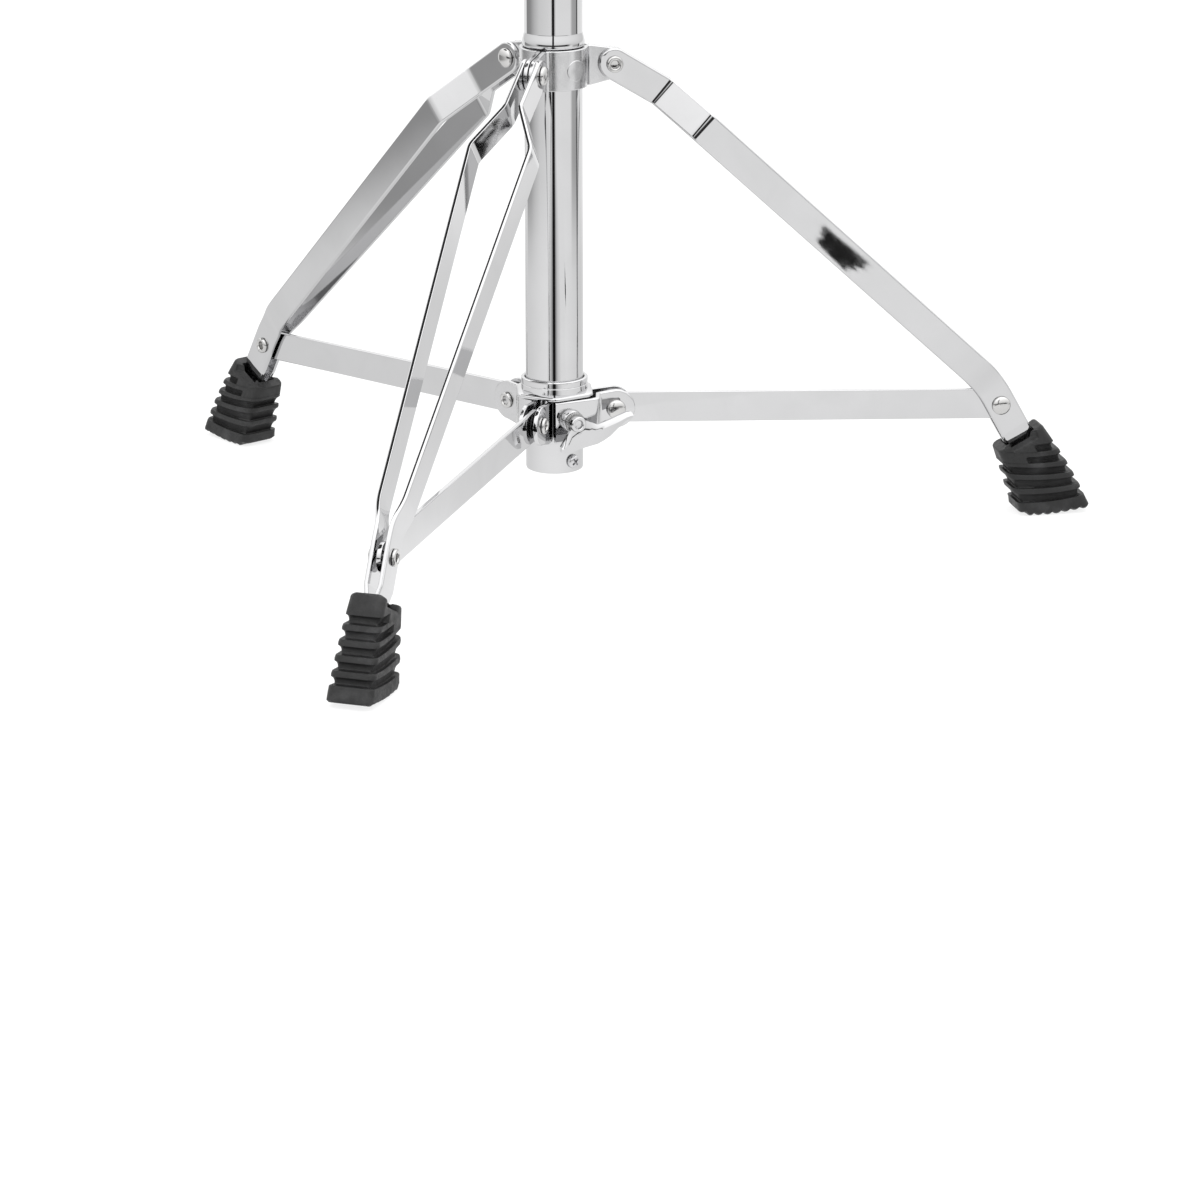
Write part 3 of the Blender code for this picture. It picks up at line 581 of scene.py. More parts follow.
def lock_box():
    """The lower hub's boxed plate: an ear whose wall runs in to the sleeve, and the wing bolt's flat face."""
    near = ear(BRACE_HUB, LOWER_EAR_R, LOWER_EAR_Y)
    wall = near + [(Vector((out, LOWER_EAR_Y)), *LOWER_BAND, 0) for out in (22.6, 17.6)]
    normal = polar(1, LOCK_AZIMUTH - AZIMUTHS["front"])
    along = Vector((-normal.y, normal.x))
    start = normal * LOCK_FACE - along * LOCK_EDGE
    corner = normal * LOCK_FACE + along * LOCK_FACE_END
    spin = Matrix.Rotation(math.radians(TO_NEXT["front"]), 2)
    root = spin @ Vector((22.8, -LOWER_EAR_Y))
    far = spin @ Vector((21.0, -LOWER_EAR_Y - 1.2))
    back = (far - corner).normalized()
    curve = [corner - along * 2 * (1 - k / 6) ** 2 + back * 2 * (k / 6) ** 2 for k in range(7)]
    path = [start, start + along * 1.2, corner - along * 4, *curve, far, root]
    face = [(p, *LOWER_BAND, 0) for p in path]
    face += mirrored(near, TO_NEXT["front"])
    return joined(plate_bar(wall, PLATE_T), plate_bar(face, PLATE_T, rolled=0.9))


def six_sided(apothem, degrees):
    """How far out a hexagon's edge is, this many degrees round from the middle of a side."""
    return apothem / math.cos(math.radians((degrees + 30) % 60 - 30))


def top_plate():
    """A six-sided plate with a rolled rim, open round the sleeve."""
    hole = SLEEVE_R + 0.1
    low, high = CAP_PLATE
    rings = []
    for inset, height in ((None, low), (0.5, low), (0.15, low + 0.15), (0, low + 0.5), (0, high - 0.9),
                          (0.25, high - 0.35), (0.9, high), (None, high + 0.35)):
        ring = []
        for i in range(144):
            turn = 2.5 * i
            flat = six_sided(CAP_APOTHEM, turn - CAP_TURN)
            radius = hole if inset is None else min(flat, six_sided(CAP_APOTHEM, 30) - 0.9) - inset
            ring.append((*polar(radius, turn), height))
        rings.append(ring)
    return looped(rings)


def add_lower_hub():
    band_r = SLEEVE_R + GAP + PLATE_T / 2
    names = {"front": "lock", "right": "back", "left": "front_left"}
    for leg in LEGS:
        if leg == "front":
            plate, look = lock_box(), "chrome"
        else:
            plate = eared_band(BRACE_HUB, LOWER_EAR_Y, LOWER_EAR_R, band_r, LOWER_BEND, LOWER_BAND,
                               TO_NEXT[leg], PLATE_T)
            look = "stamped"
        name = names[leg]
        add_piece("lower_plate_" + name, plate, look, "lower_hub", ["lower_hub_plate_" + name],
                  leg_frame(AZIMUTHS[leg]))

    bore = TUBE_R + GAP
    low, high = SLEEVE_Z
    r = SLEEVE_R
    outline = [(bore, low), (r + 0.15, low), (r + 0.15, high - 6.6), (r, high - 3.6), (r - 0.15, high - 3.45),
               (r - 0.15, high - 3.3), (r, high - 3.15), (r + 0.1, high - 1.2), (r, high - 0.4), (r - 0.6, high),
               (bore + 0.5, high - 0.1), (bore, high - 0.9)]
    collar = spun(outline, 144, round_by=0.3)
    add_piece("collar", collar, "chrome", "lower_hub", ["lower_hub_sleeve"], leg_frame(0))
    add_piece("hub_top", top_plate(), "chrome", "lower_hub", ["lower_hub_top_plate"], leg_frame(0))


# Rivets


def rivet_head(grip):
    outline = [(RIVET_R, grip), (DOME_R, grip)]
    for lift in range(0, 90, 10):
        turn = math.radians(lift)
        outline.append((DOME_R * math.cos(turn), grip + 0.4 + 2.0 * math.sin(turn)))
    return outline + [(0, grip + 2.4)]


def rivet_tail(grip):
    """The rolled tubular end, from its bore out and back to the shank."""
    outline = [(0, 1.5 - grip), (1.95, 1.5 - grip), (2.0, -grip - 0.4)]
    for turn in range(180, -1, -20):
        spot = polar(1, turn)
        outline.append((3.05 + 1.05 * spot.x, -grip - 0.45 - 0.95 * spot.y))
    return outline + [(ROLL_R - 0.1, -grip), (RIVET_R, -grip)]


def add_rivet(name, node, point, grip, dome_sign, leg, body, part="whole"):
    stub = BRACE_T / 2 + 0.5
    if part == "head":
        outline = [(0, stub), (RIVET_R, stub)] + rivet_head(grip)
    elif part == "tail":
        outline = rivet_tail(grip) + [(RIVET_R, -stub), (0, -stub)]
    else:
        outline = rivet_tail(grip) + rivet_head(grip)
    axis = across_y(point)
    if dome_sign < 0:
        axis = axis @ turn_by(180, "X")
    add_piece(name, spun(outline, 56, axis, 0.12), "rivet", body, [node], leg_frame(AZIMUTHS[leg]))


# Legs


def leg_marks():
    """Distances along the leg's side view, and the point and edge direction at each of its bends."""
    main = math.atan2(KNEE[1] - SPLAY_END[1], KNEE[0] - SPLAY_END[0])
    shin = math.radians(SHIN_ANGLE)
    reach = KNEE_R * math.tan((main - shin) / 2)
    arc_start = Vector(KNEE) - reach * Vector((math.cos(main), math.sin(main)))
    marks = [(0.0, Vector(LEG_PIVOT), math.radians(THIGH_ANGLE))]
    for spot, turn in ((SPLAY_START, math.radians(SPLAY_ANGLE)), (SPLAY_END, main), (arc_start, main)):
        marks.append((marks[-1][0] + (Vector(spot) - marks[-1][1]).length, Vector(spot), turn))
    center = arc_start + KNEE_R * Vector((math.sin(main), -math.cos(main)))
    begun = marks[-1][0]
    for i in range(1, 13):
        turn = main + (shin - main) * i / 12
        spot = center + KNEE_R * Vector((-math.sin(turn), math.cos(turn)))
        marks.append((begun + KNEE_R * (main - turn), spot, turn))
    for out in (*PINCH, STRAP_END):
        spot = Vector((out, KNEE[1] + (out - KNEE[0]) * math.tan(shin)))
        marks.append((marks[-1][0] + (spot - marks[-1][1]).length, spot, shin))
    return marks


def side_view(marks, distance):
    """The point and the edge direction of the leg's side view at a distance from its pivot."""
    if distance <= 0:
        spot, turn = marks[0][1], marks[0][2]
        return spot + distance * Vector((math.cos(turn), math.sin(turn))), turn, turn
    for (d0, p0, t0), (d1, p1, t1) in zip(marks, marks[1:]):
        if distance <= d1 or d1 == marks[-1][0]:
            share = (distance - d0) / (d1 - d0)
            heading = math.atan2(p1.y - p0.y, p1.x - p0.x)
            return p0.lerp(p1, share), t0 + (t1 - t0) * share, heading


def filleted(corners, radii, steps=6):
    """A line of (distance, height, slope angle) through corners, each rounded by its own radius."""
    made = [(corners[0], 0.0)]
    for i in range(1, len(corners) - 1):
        spot = corners[i]
        into = (spot - corners[i - 1]).normalized()
        out = (corners[i + 1] - spot).normalized()
        a, b = math.atan2(into.y, into.x), math.atan2(out.y, out.x)
        reach = abs(radii[i] * math.tan((b - a) / 2))
        start = spot - into * reach
        side = 1 if b > a else -1
        center = start + radii[i] * side * Vector((-into.y, into.x))
        for k in range(steps + 1):
            turn = a + (b - a) * k / steps
            made.append((center + radii[i] * side * Vector((math.sin(turn), -math.cos(turn))), turn))
    made.append((corners[-1], made[-1][1]))
    return made


def strap_rings(side):
    marks = leg_marks()
    splay, wide, knee, foot = marks[1][0], marks[2][0], marks[3][0], [m[0] for m in marks[-3:]]
    half_way = (wide + knee) / 2
    flat_from = knee + (marks[12][0] - knee) * 0.6
    corners = [Vector(pair) for pair in (
        (0, SPREAD_TOP), (splay, SPREAD_TOP), (wide, SPREAD_WIDE),
        (half_way, (SPREAD_WIDE + SPREAD_KNEE) / 2), (knee, SPREAD_KNEE), (flat_from, SPREAD_SHIN),
        (foot[0], SPREAD_SHIN), (foot[1], SPREAD_FOOT), (foot[2], SPREAD_FOOT))]
    line = filleted(corners, BEND_RADII)
    for mark in marks[3:16]:
        if all(abs(mark[0] - spot.x) > 0.7 for spot, _ in line):
            after = next(i for i, (spot, _) in enumerate(line) if spot.x > mark[0])
            (p0, a0), (p1, a1) = line[after - 1], line[after]
            share = (mark[0] - p0.x) / (p1.x - p0.x)
            line.insert(after, (p0.lerp(p1, share), a0 + (a1 - a0) * share))
    half = STRAP_W / 2
    stations = []
    for lean in NOSE[:-1]:
        turn = math.radians(lean)
        stations.append((Vector((-half * math.sin(turn), SPREAD_TOP)), 0.0, half * math.cos(turn), lean))
    stations += [(spot, slope, half, 0) for spot, slope in line]
    rings = []
    for spot, slope, width, lean in stations:
        point, edge_turn, heading = side_view(marks, spot.x)
        ahead = Vector((math.cos(heading), 0, math.sin(heading)))
        along = ahead * math.cos(slope) + Vector((0, side, 0)) * math.sin(slope)
        normal = Vector((0, side, 0)) * math.cos(slope) - ahead * math.sin(slope)
        across = Vector((-math.sin(edge_turn), 0, math.cos(edge_turn)))
        center = Vector((point.x, side * spot.y, point.y))
        rings.append(bar_ring(center, across, normal, along, width, STRAP_T, lean, *STRAP_EDGES))
    return rings


def drill(point, radius=HOLE_R, reach=12):
    return spun([(0, -reach), (radius, -reach), (radius, reach), (0, reach)], 48, across_y(point), 0)


def add_leg(leg):
    place = leg_frame(AZIMUTHS[leg])
    body = leg + "_leg"
    for side, label in SIDES:
        node = f"{leg}_leg_strap_{label}"
        strap = add_piece(f"{leg}_strap_{label}", skin(strap_rings(side)), "chrome", body, [node], place)
        cut(strap, [drill(LEG_PIVOT), drill(BRACE_LEG)], place)
    grip = SPREAD_TOP + STRAP_T / 2 + GAP
    add_rivet(leg + "_top_rivet", leg + "_leg_rivet", LEG_PIVOT, grip, 1, leg, "base")
    grip = SPREAD_SHIN + STRAP_T / 2 + GAP
    for part in ("head", "tail"):
        add_rivet(f"{leg}_low_rivet_{part}", f"{leg}_brace_rivet_{part}", BRACE_LEG, grip, -1, leg, body,
                  part)
    add_piece(leg + "_boot", foot_mesh(), "rubber", body, [leg + "_foot"], place, sharp=50)


def add_brace(leg):
    place = leg_frame(AZIMUTHS[leg])
    hub, end = Vector(BRACE_HUB), Vector(BRACE_LEG)
    length = (end - hub).length
    ahead = (end - hub).normalized()
    along = Vector((ahead.x, 0, ahead.y))
    across = Vector((-ahead.y, 0, ahead.x))
    half = STRAP_W / 2
    stations = [(-half * math.sin(math.radians(a)), half * math.cos(math.radians(a)), a) for a in NOSE]
    stations += [(length * k / 6, half, 0) for k in range(1, 6)]
    stations += [(length - spot, width, -lean) for spot, width, lean in reversed(stations[:len(NOSE)])]
    rings = []
    for distance, width, lean in stations:
        spot = hub + ahead * distance
        rings.append(bar_ring(Vector((spot.x, 0, spot.y)), across, Vector((0, 1, 0)), along, width, BRACE_T, lean,
                              *BRACE_EDGES))
    brace = add_piece(leg + "_brace_bar", skin(rings), "chrome", leg + "_brace", [leg + "_brace"], place)
    cut(brace, [drill(BRACE_HUB), drill(BRACE_LEG)], place)
    grip = LOWER_EAR_Y + PLATE_T / 2 + GAP
    add_rivet(leg + "_lower_hub_rivet", leg + "_hub_rivet", BRACE_HUB, grip, -1, leg, "lower_hub")
    inner, outer = BRACE_T / 2 + GAP, LOWER_EAR_Y - PLATE_T / 2 - GAP
    for side, label in SIDES:
        axis = across_y(BRACE_HUB) @ turn_by(90 - 90 * side, "X")
        ring = [(HOLE_R, inner), (SPACER_R, inner), (SPACER_R, outer), (HOLE_R, outer)]
        add_piece(f"{leg}_spacer_{label}", spun(ring, 56, axis, 0.25), "black_plastic", "lower_hub",
                  [f"{leg}_hub_washer_{label}"], place)


# Feet


def smooth_step(low, high, value):
    t = min(max((value - low) / (high - low), 0), 1)
    return t * t * (3 - 2 * t)


def foot_columns():
    """Columns round half the foot, from mid heel to mid toe, as (kind, share along it or angle)."""
    columns = [("heel", k / 3) for k in range(3)]
    columns += [("heel_corner", 90 * k / 4) for k in range(5)]
    columns += [("side", k / 38) for k in range(1, 38)]
    columns += [("toe_corner", 90 * k / 4) for k in range(5)]
    columns += [("toe", 1 - k / 3) for k in range(1, 4)]
    return columns


def foot_place(column, inner, outer, half, corner):
    """Where a column stands in plan, the way it faces, and its share of the way from heel to toe."""
    kind, value = column
    if kind == "heel":
        return Vector((inner, (half - corner) * value)), Vector((-1, 0))
    if kind == "toe":
        return Vector((outer, (half - corner) * value)), Vector((1, 0))
    if kind == "side":
        return Vector((inner + corner + (outer - inner - 2 * corner) * value, half)), Vector((0, 1))
    turn = 180 - value if kind == "heel_corner" else 90 - value
    center = inner + corner if kind == "heel_corner" else outer - corner
    return Vector((center, half - corner)) + polar(corner, turn), polar(1, turn)


def column_share(column):
    """How far a column stands from heel to toe at the rim, from 0 to 1."""
    kind, value = column
    if kind in ("heel", "toe"):
        return float(kind == "toe")
    if kind == "side":
        return 0.13 + 0.74 * value
    lift = 0.13 * math.sin(math.radians(value))
    return 0.13 * (1 - math.cos(math.radians(value))) if kind == "heel_corner" else 0.87 + lift


# A groove's section as (share of its height, share of its depth): a long scoop that undercuts the next ridge
GROOVE_SHAPE = ((0.0, 0.0), (0.05, 0.10), (0.13, 0.34), (0.26, 0.58), (0.42, 0.76), (0.60, 0.89),
                (0.78, 0.97), (0.93, 1.0), (1.0, 0.84), (0.99, 0.45), (0.94, 0.16), (0.95, 0.04), (1.0, 0.0))


def foot_rows():
    """Rows down the foot, as (height at the heel, height at the toe, groove number or None, depth)."""
    rows = [(41.0, 41.0, None, 0), (39.5, 39.5, None, 0)]
    for number, (heel_top, toe_top, heel_low, toe_low, _) in enumerate(GROOVES):
        for at, depth in GROOVE_SHAPE:
            heel = heel_top + (heel_low - heel_top) * at
            rows.append((heel, toe_top + (toe_low - toe_top) * at, number, depth))
        if number < len(GROOVES) - 1:
            heel_next, toe_next = GROOVES[number + 1][:2]
            rows.append(((heel_low + heel_next) / 2, (toe_low + toe_next) / 2, number, -0.07))
    return rows + [(heel_low - 0.7, toe_low - 0.8, None, 0), (heel_low - 1.4, toe_low - 2.6, None, 0)]


def sole_height(out):
    """Seven rounded lugs across the sole, which lifts at the toe and is chamfered at the heel."""
    lift = 2.4 * smooth_step(254, 280, out) + 1.6 * smooth_step(246.5, 241, out)
    across = (out - 243.2) / 4.85 % 1 * 2 - 1
    return lift + 1.7 * (1 - math.sqrt(1 - 0.97 * across * across))


def foot_mesh():
    columns = foot_columns()
    rim_dir = (Vector(FOOT_TOP_OUTER) - Vector(FOOT_TOP_INNER)).normalized()
    down = Vector((rim_dir.y, -rim_dir.x))
    rim_mid = (Vector(FOOT_TOP_OUTER) + Vector(FOOT_TOP_INNER)) / 2
    inner_slope = (FOOT_HEEL[0] - FOOT_TOP_INNER[0]) / (FOOT_TOP_INNER[1] - FOOT_HEEL[1])
    outer_slope = (FOOT_TOE[0] - FOOT_TOP_OUTER[0]) / (FOOT_TOP_OUTER[1] - FOOT_TOE[1])

    def wall(column, height, depth=0.0, inset=0.0):
        share = column_share(column)
        top = FOOT_TOP_INNER[1] + (FOOT_TOP_OUTER[1] - FOOT_TOP_INNER[1]) * share
        t = min(max((top - height) / (top - 3), 0), 1)
        half = (FOOT_W_TOP + (FOOT_W_BOTTOM - FOOT_W_TOP) * t) / 2
        inner = FOOT_HEEL[0] - (height - FOOT_HEEL[1]) * inner_slope
        bulge = 1.5 * math.sin(math.pi * min(max((45.5 - height) / 42, 0), 1))
        outer = FOOT_TOE[0] - (height - FOOT_TOE[1]) * outer_slope + bulge
        spot, facing = foot_place(column, inner, outer, half, FOOT_CORNER_R)
        spot = spot - facing * (depth + inset)
        return (spot.x, spot.y, height)

    notch = [2.8 * smooth_step(0.21, 0.25, column_share(c)) * smooth_step(0.80, 0.76, column_share(c))
             if c[0] == "side" else 0.0 for c in columns]
    rims = [FOOT_TOP_INNER[1] + (FOOT_TOP_OUTER[1] - FOOT_TOP_INNER[1]) * column_share(c) - n
            for c, n in zip(columns, notch)]

    def pocket(column, low, depth, half):
        """A point of the pocket's wall, some way down along the strap."""
        spot, _ = foot_place(column, -POCKET_REACH, POCKET_REACH, half, 0.5)
        place = rim_mid + rim_dir * spot.x + down * depth
        return (place.x, spot.y, place.y - low)

    rows = [[pocket(c, n * share, depth, half) for c, n in zip(columns, notch)]
            for share, depth, half in ((0, 11.0, 3.2), (0, 7.0, 3.3), (0.9, 1.2, 4.7), (1, 0.2, 5.2))]
    rows += [[wall(c, rim - low, inset=inset) for c, rim in zip(columns, rims)]
             for low, inset in ((0.05, 1.3), (0.25, 0.5), (0.8, 0.08))]
    for number, (heel_level, toe_level, groove, depth) in enumerate(foot_rows()):
        row = []
        for c, rim in zip(columns, rims):
            share = column_share(c)
            sag = 1.2 * math.sin(math.pi * share)
            cap = rim - 1.3 - 0.09 * number
            level = min(heel_level + (toe_level - heel_level) * share - sag, cap)
            deep = 0.0
            if groove is not None and level < cap - 0.2:
                begins = GROOVES[groove][4]
                reach = 1.0 if begins is None else smooth_step(begins, begins + 0.03, share)
                deep = (GROOVE_DEPTH + GROOVE_DEPTH_TOE * smooth_step(0.86, 1.0, share)) * depth * reach
            row.append(wall(c, level, deep))
        rows.append(row)
    base = []
    for c in columns:
        x, y, _ = wall(c, 4.2)
        base.append((x, y, min(sole_height(x) + 1.0, 5.0)))
    rows.append(base)
    low_wall = [wall(c, 3.2, inset=0.6) for c in columns]
    rows.append([(x, y - 0.9 * (y > 6), sole_height(x)) for x, y, _ in low_wall])

    rings = [row + [(x, -y, z) for x, y, z in reversed(row[1:-1])] for row in rows]
    bm = skin(rings, closed_ends=False)
    bm.verts.ensure_lookup_table()
    count = len(rings[0])
    last = len(columns) - 1
    for start in (0, (len(rings) - 1) * count):
        ring = bm.verts[start:start + count]
        for i in range(last):
            left, right = (-i) % count, (-i - 1) % count
            corners = [ring[i], ring[i + 1], ring[right], ring[left]]
            add_face(bm, corners if start else corners[::-1])
    return bm


# Wing bolts


def blade_mesh(low):
    """A cast wing: its face is two planes that meet in a ridge along it, and its back is flat."""
    rings = []
    for x, top, ridge, bottom in WING_ROWS:
        rings.append([(x, top, low), (x, bottom, low), (x, bottom, low + 1.5), (x, ridge, low + 3.1),
                      (x, (top + ridge) / 2, low + 2.5), (x, top, low + 1.7)])
    return skin(rings)


def add_wing_bolt(name, node, axis, tip, hub_low, hub_high, body, place):
    hub = [(0, tip), (SCREW_R - 0.6, tip), (SCREW_R, tip + 0.6), (SCREW_R, hub_low), (3.9, hub_low),
           (3.9, hub_high - 0.6), (3.4, hub_high), (2.5, hub_high), (2.2, hub_high - 0.4), (1.9, hub_high - 1.9),
           (0, hub_high - 2.2)]
    blade = blade_mesh(hub_low + 0.4)
    edges = [e for e in blade.edges if len(e.link_faces) == 2 and e.calc_face_angle(0) > math.radians(50)]
    bmesh.ops.bevel(blade, geom=edges, offset=0.55, segments=3, affect="EDGES", profile=0.5)
    whole = joined(spun(hub, 72, axis, 0.35), moved(blade, axis @ turn_by(90)))
    add_piece(name, whole, "chrome", body, [node], place, sharp=35)


def add_lock():
    place = leg_frame(0)
    axis = along_azimuth(LOCK_AZIMUTH, LOCK_Z)
    face = LOCK_FACE + PLATE_T / 2
    bore = SCREW_R + GAP
    boss = [(bore, face - 0.6), (5.7, face - 0.6), (5.6, face + 0.9), (5.3, face + 1.9), (4.9, face + 2.6),
            (4.5, face + 2.8), (bore, face + 2.8)]
    add_piece("lock_seat", spun(boss, 80, axis, 0.3), "chrome", "lower_hub", ["lock_boss"], place)
    low = face + 3.1
    rings = []
    teeth = 30
    for radius, height, depth in ((bore, low, 0), (4.8, low, 0), (5.1, low + 0.35, 0.16),
                                  (5.2, low + 0.6, 0.22), (5.2, low + 1.2, 0.22), (5.1, low + 1.45, 0.16),
                                  (4.8, low + 1.8, 0), (bore, low + 1.8, 0)):
        ring = []
        for i in range(teeth * 4):
            dip = depth * (0.5 - 0.5 * math.cos(2 * math.pi * i / 4))
            ring.append((*polar(radius - dip, 90 * i / teeth), height))
        rings.append(ring)
    knurl = moved(looped(rings), axis)
    add_piece("lock_ring", knurl, "dark_steel", "lower_hub", ["lock_washer"], place, sharp=60)
    hub_low = low + 1.8 + GAP
    add_wing_bolt("lock_wing_screw", "lock_wing_bolt", axis, TUBE_R + GAP, hub_low, hub_low + 4.2, "lock_wing",
                  place)


def add_clamp():
    place = leg_frame(CLAMP_AZIMUTH)
    band_r = TUBE_R + GAP + CLAMP_T / 2
    spot = (CLAMP_BOLT_R, sum(CLAMP_Z) / 2)
    band = eared_band(spot, CLAMP_LUG_Y, CLAMP_LUG_R, band_r, 2.5, CLAMP_Z, 360, CLAMP_T, 96)
    clamp = add_piece("clamp_band", band, "chrome", "base", ["height_clamp"], place)
    cut(clamp, [drill(spot, SCREW_R + GAP)], place)
    face = CLAMP_LUG_Y + CLAMP_T / 2 + GAP
    across = across_y(spot)
    rings = []
    for limit, height in ((0, face), (5.6, face), (6.6, face + 0.5), (6.6, face + 4.3), (5.6, face + 5),
                          (0, face + 5)):
        ring = []
        for i in range(72):
            radius = min(six_sided(NUT_APOTHEM, 5 * i), limit) if limit else SCREW_R + 0.1
            ring.append((*polar(radius, 5 * i), height))
        rings.append(ring)
    nut = moved(looped(rings), across)
    add_piece("clamp_hex_nut", nut, "steel", "base", ["clamp_nut"], place, sharp=25)
    outward = across @ turn_by(180, "X") @ turn_by(-90)
    add_wing_bolt("clamp_wing_screw", "clamp_wing_bolt", outward, GAP - face - 4.0, face, face + 5.0,
                  "clamp_wing", place)

    bush_r = TUBE_BORE_R - GAP
    rim_r = TUBE_R + 1.6
    low, high = TUBE_TOP - 30, TUBE_TOP + GAP
    bush = [(BUSH_BORE, low), (bush_r, low), (bush_r, high), (rim_r, high), (rim_r, high + 2.2),
            (rim_r - 0.7, high + 2.9), (BUSH_BORE + 0.6, high + 2.9), (BUSH_BORE, high + 2.3)]
    liner = spun(bush, 96, round_by=0.4)
    add_piece("clamp_liner", liner, "black_plastic", "base", ["clamp_bush"], leg_frame(0))


# Studio

CAMERA_PLACE = (0.6546, -1.8890, 0.6230)
CAMERA_TILT = 72.37
CAMERA_TURN = 17.89
CAMERA_AZIMUTH = CAMERA_TURN - 90
CAMERA_LENS = 128.7
FLOOR_HALF = 8.0
FLOOR_TONES = (0.21, 0.23)
FLOOR_GLOW = 0.78

# What reflections see of the floor: near the tube the level swings with the heading, and far out it follows
# stops of (degrees from the camera's heading, level)
NEAR_LEVEL = 1.06
NEAR_SWING = 0.16
NEAR_TO_FAR = (0.52, 0.98)
ROOM_FAR = ((-180, 1.15), (-128, 1.15), (-124, 0.34), (-100, 0.42), (-78, 0.72), (-55, 0.95), (-10, 1.08),
            (12, 1.13), (70, 1.13), (79, 0.60), (105, 0.50), (110, 1.15), (180, 1.15))
ROOM_TOP = 1.2
# A dark wedge across the floor, in the same kind of stops, and the distance at which it begins
WEDGE = ((101, 1.0), (103.5, 0.05), (107, 0.05), (110, 1.0))
WEDGE_START = (0.31, 0.34)
# The dark end of the floor towards the camera: its distance, its edge as cosines and its level
END_START = (1.9, 2.3)
FRONT_EDGE = (0.35, 0.65)
END_LEVEL = 0.03
# The dark line: half its core's angle, and how wide its right and left sides are where the span begins and ends
LINE_CORE = 4.0
LINE_SPAN = (0.30, 1.1)
LINE_SIDES = ((24, 7), (24, 6))
LINE_STOPS = ((0.0, 0.01), (0.10, 0.30), (0.45, 0.72), (1.0, 0.95))
# The corners of a dark card on the floor that the right leg's outer strap shows halfway down, in metres
PATCH = ((0.549, -0.240), (0.536, -0.236), (0.528, -0.228), (0.520, -0.226), (0.511, -0.215), (0.498, -0.212),
         (0.485, -0.202), (0.451, -0.149), (0.464, -0.156), (0.470, -0.151), (0.477, -0.159), (0.485, -0.155),
         (0.493, -0.163), (0.504, -0.165), (0.511, -0.176), (0.523, -0.196))
PATCH_LEVEL = 0.02

# The world grows lighter upwards. Its dark parts have edges given as sines or cosines: the horizon in front, an
# upright strip above it and a round spot to the side
SKY_LEVEL = 0.88
SKY_RISE = 1.3
HORIZON_EDGE = (0.05, 0.13)
HORIZON_LEVEL = 0.04
STRIP_EDGE = (0.075, 0.045)
STRIP_FRONT = (0.0, 0.1)
STRIP_TOP = (0.75, 0.6)
STRIP_LEVEL = 0.03
SPOT_HEIGHT = 58
SPOT_AZIMUTH = CAMERA_AZIMUTH - 105
SPOT_EDGE = (0.925, 0.950)
SPOT_LEVEL = 0.02


def stage_mesh(name, points, look):
    mesh = bpy.data.meshes.new(name)
    mesh.from_pydata(points, [], [list(range(len(points)))])
    mesh.materials.append(look)
    made = add_object(name, mesh)
    return made


def glow(name, level):
    """A matt studio card that shows its own even brightness."""
    made = bpy.data.materials.new(name)
    made.use_nodes = True
    tree = made.node_tree
    tree.nodes.clear()
    lamp = tree.nodes.new("ShaderNodeEmission")
    lamp.inputs["Color"].default_value = (1, 1, 1, 1)
    lamp.inputs["Strength"].default_value = level
    out = tree.nodes.new("ShaderNodeOutputMaterial")
    tree.links.new(lamp.outputs[0], out.inputs["Surface"])
    return made


class Values:
    """Builds number nodes in one node tree."""

    def __init__(self, tree):
        self.tree = tree

    def feed(self, socket, value):
        if isinstance(value, (int, float)):
            socket.default_value = value
        else:
            self.tree.links.new(value, socket)

    def math(self, operation, first, second=0.0):
        node = self.tree.nodes.new("ShaderNodeMath")
        node.operation = operation
        self.feed(node.inputs[0], first)
        self.feed(node.inputs[1], second)
        return node.outputs[0]

    def product(self, first, *others):
        for other in others:
            first = self.math("MULTIPLY", first, other)
        return first

    def fade(self, value, low, high, start=0.0, end=1.0):
        node = self.tree.nodes.new("ShaderNodeMapRange")
        node.interpolation_type = "SMOOTHSTEP"
        self.feed(node.inputs["Value"], value)
        for socket, number in (("From Min", low), ("From Max", high), ("To Min", start), ("To Max", end)):
            node.inputs[socket].default_value = number
        return node.outputs[0]

    def dot(self, vector, direction):
        node = self.tree.nodes.new("ShaderNodeVectorMath")
        node.operation = "DOT_PRODUCT"
        self.tree.links.new(vector, node.inputs[0])
        node.inputs[1].default_value = direction
        return node.outputs["Value"]

    def blend(self, share, first, second):
        return self.math("ADD", self.product(share, self.math("SUBTRACT", second, first)), first)

    def ramp(self, value, stops):
        return ramp_node(self.tree, value, stops)


def floor_values(name):
    """A glowing look, and values for how far a point of the floor lies ahead of the tube and to its side."""
    made = glow(name, 1.0)
    tree = made.node_tree
    values = Values(tree)
    lamp = next(node for node in tree.nodes if node.type == "EMISSION")
    coords = tree.nodes.new("ShaderNodeTexCoord")
    shift = tree.nodes.new("ShaderNodeVectorMath")
    shift.operation = "SUBTRACT"
    shift.inputs[1].default_value = (0, TUBE_Y * MM, 0)
    tree.links.new(coords.outputs["Object"], shift.inputs[0])
    heading = polar(1, CAMERA_AZIMUTH)
    ahead = values.dot(shift.outputs[0], (heading.x, heading.y, 0))
    aside = values.dot(shift.outputs[0], (-heading.y, heading.x, 0))
    return made, values, lamp.inputs["Strength"], ahead, aside


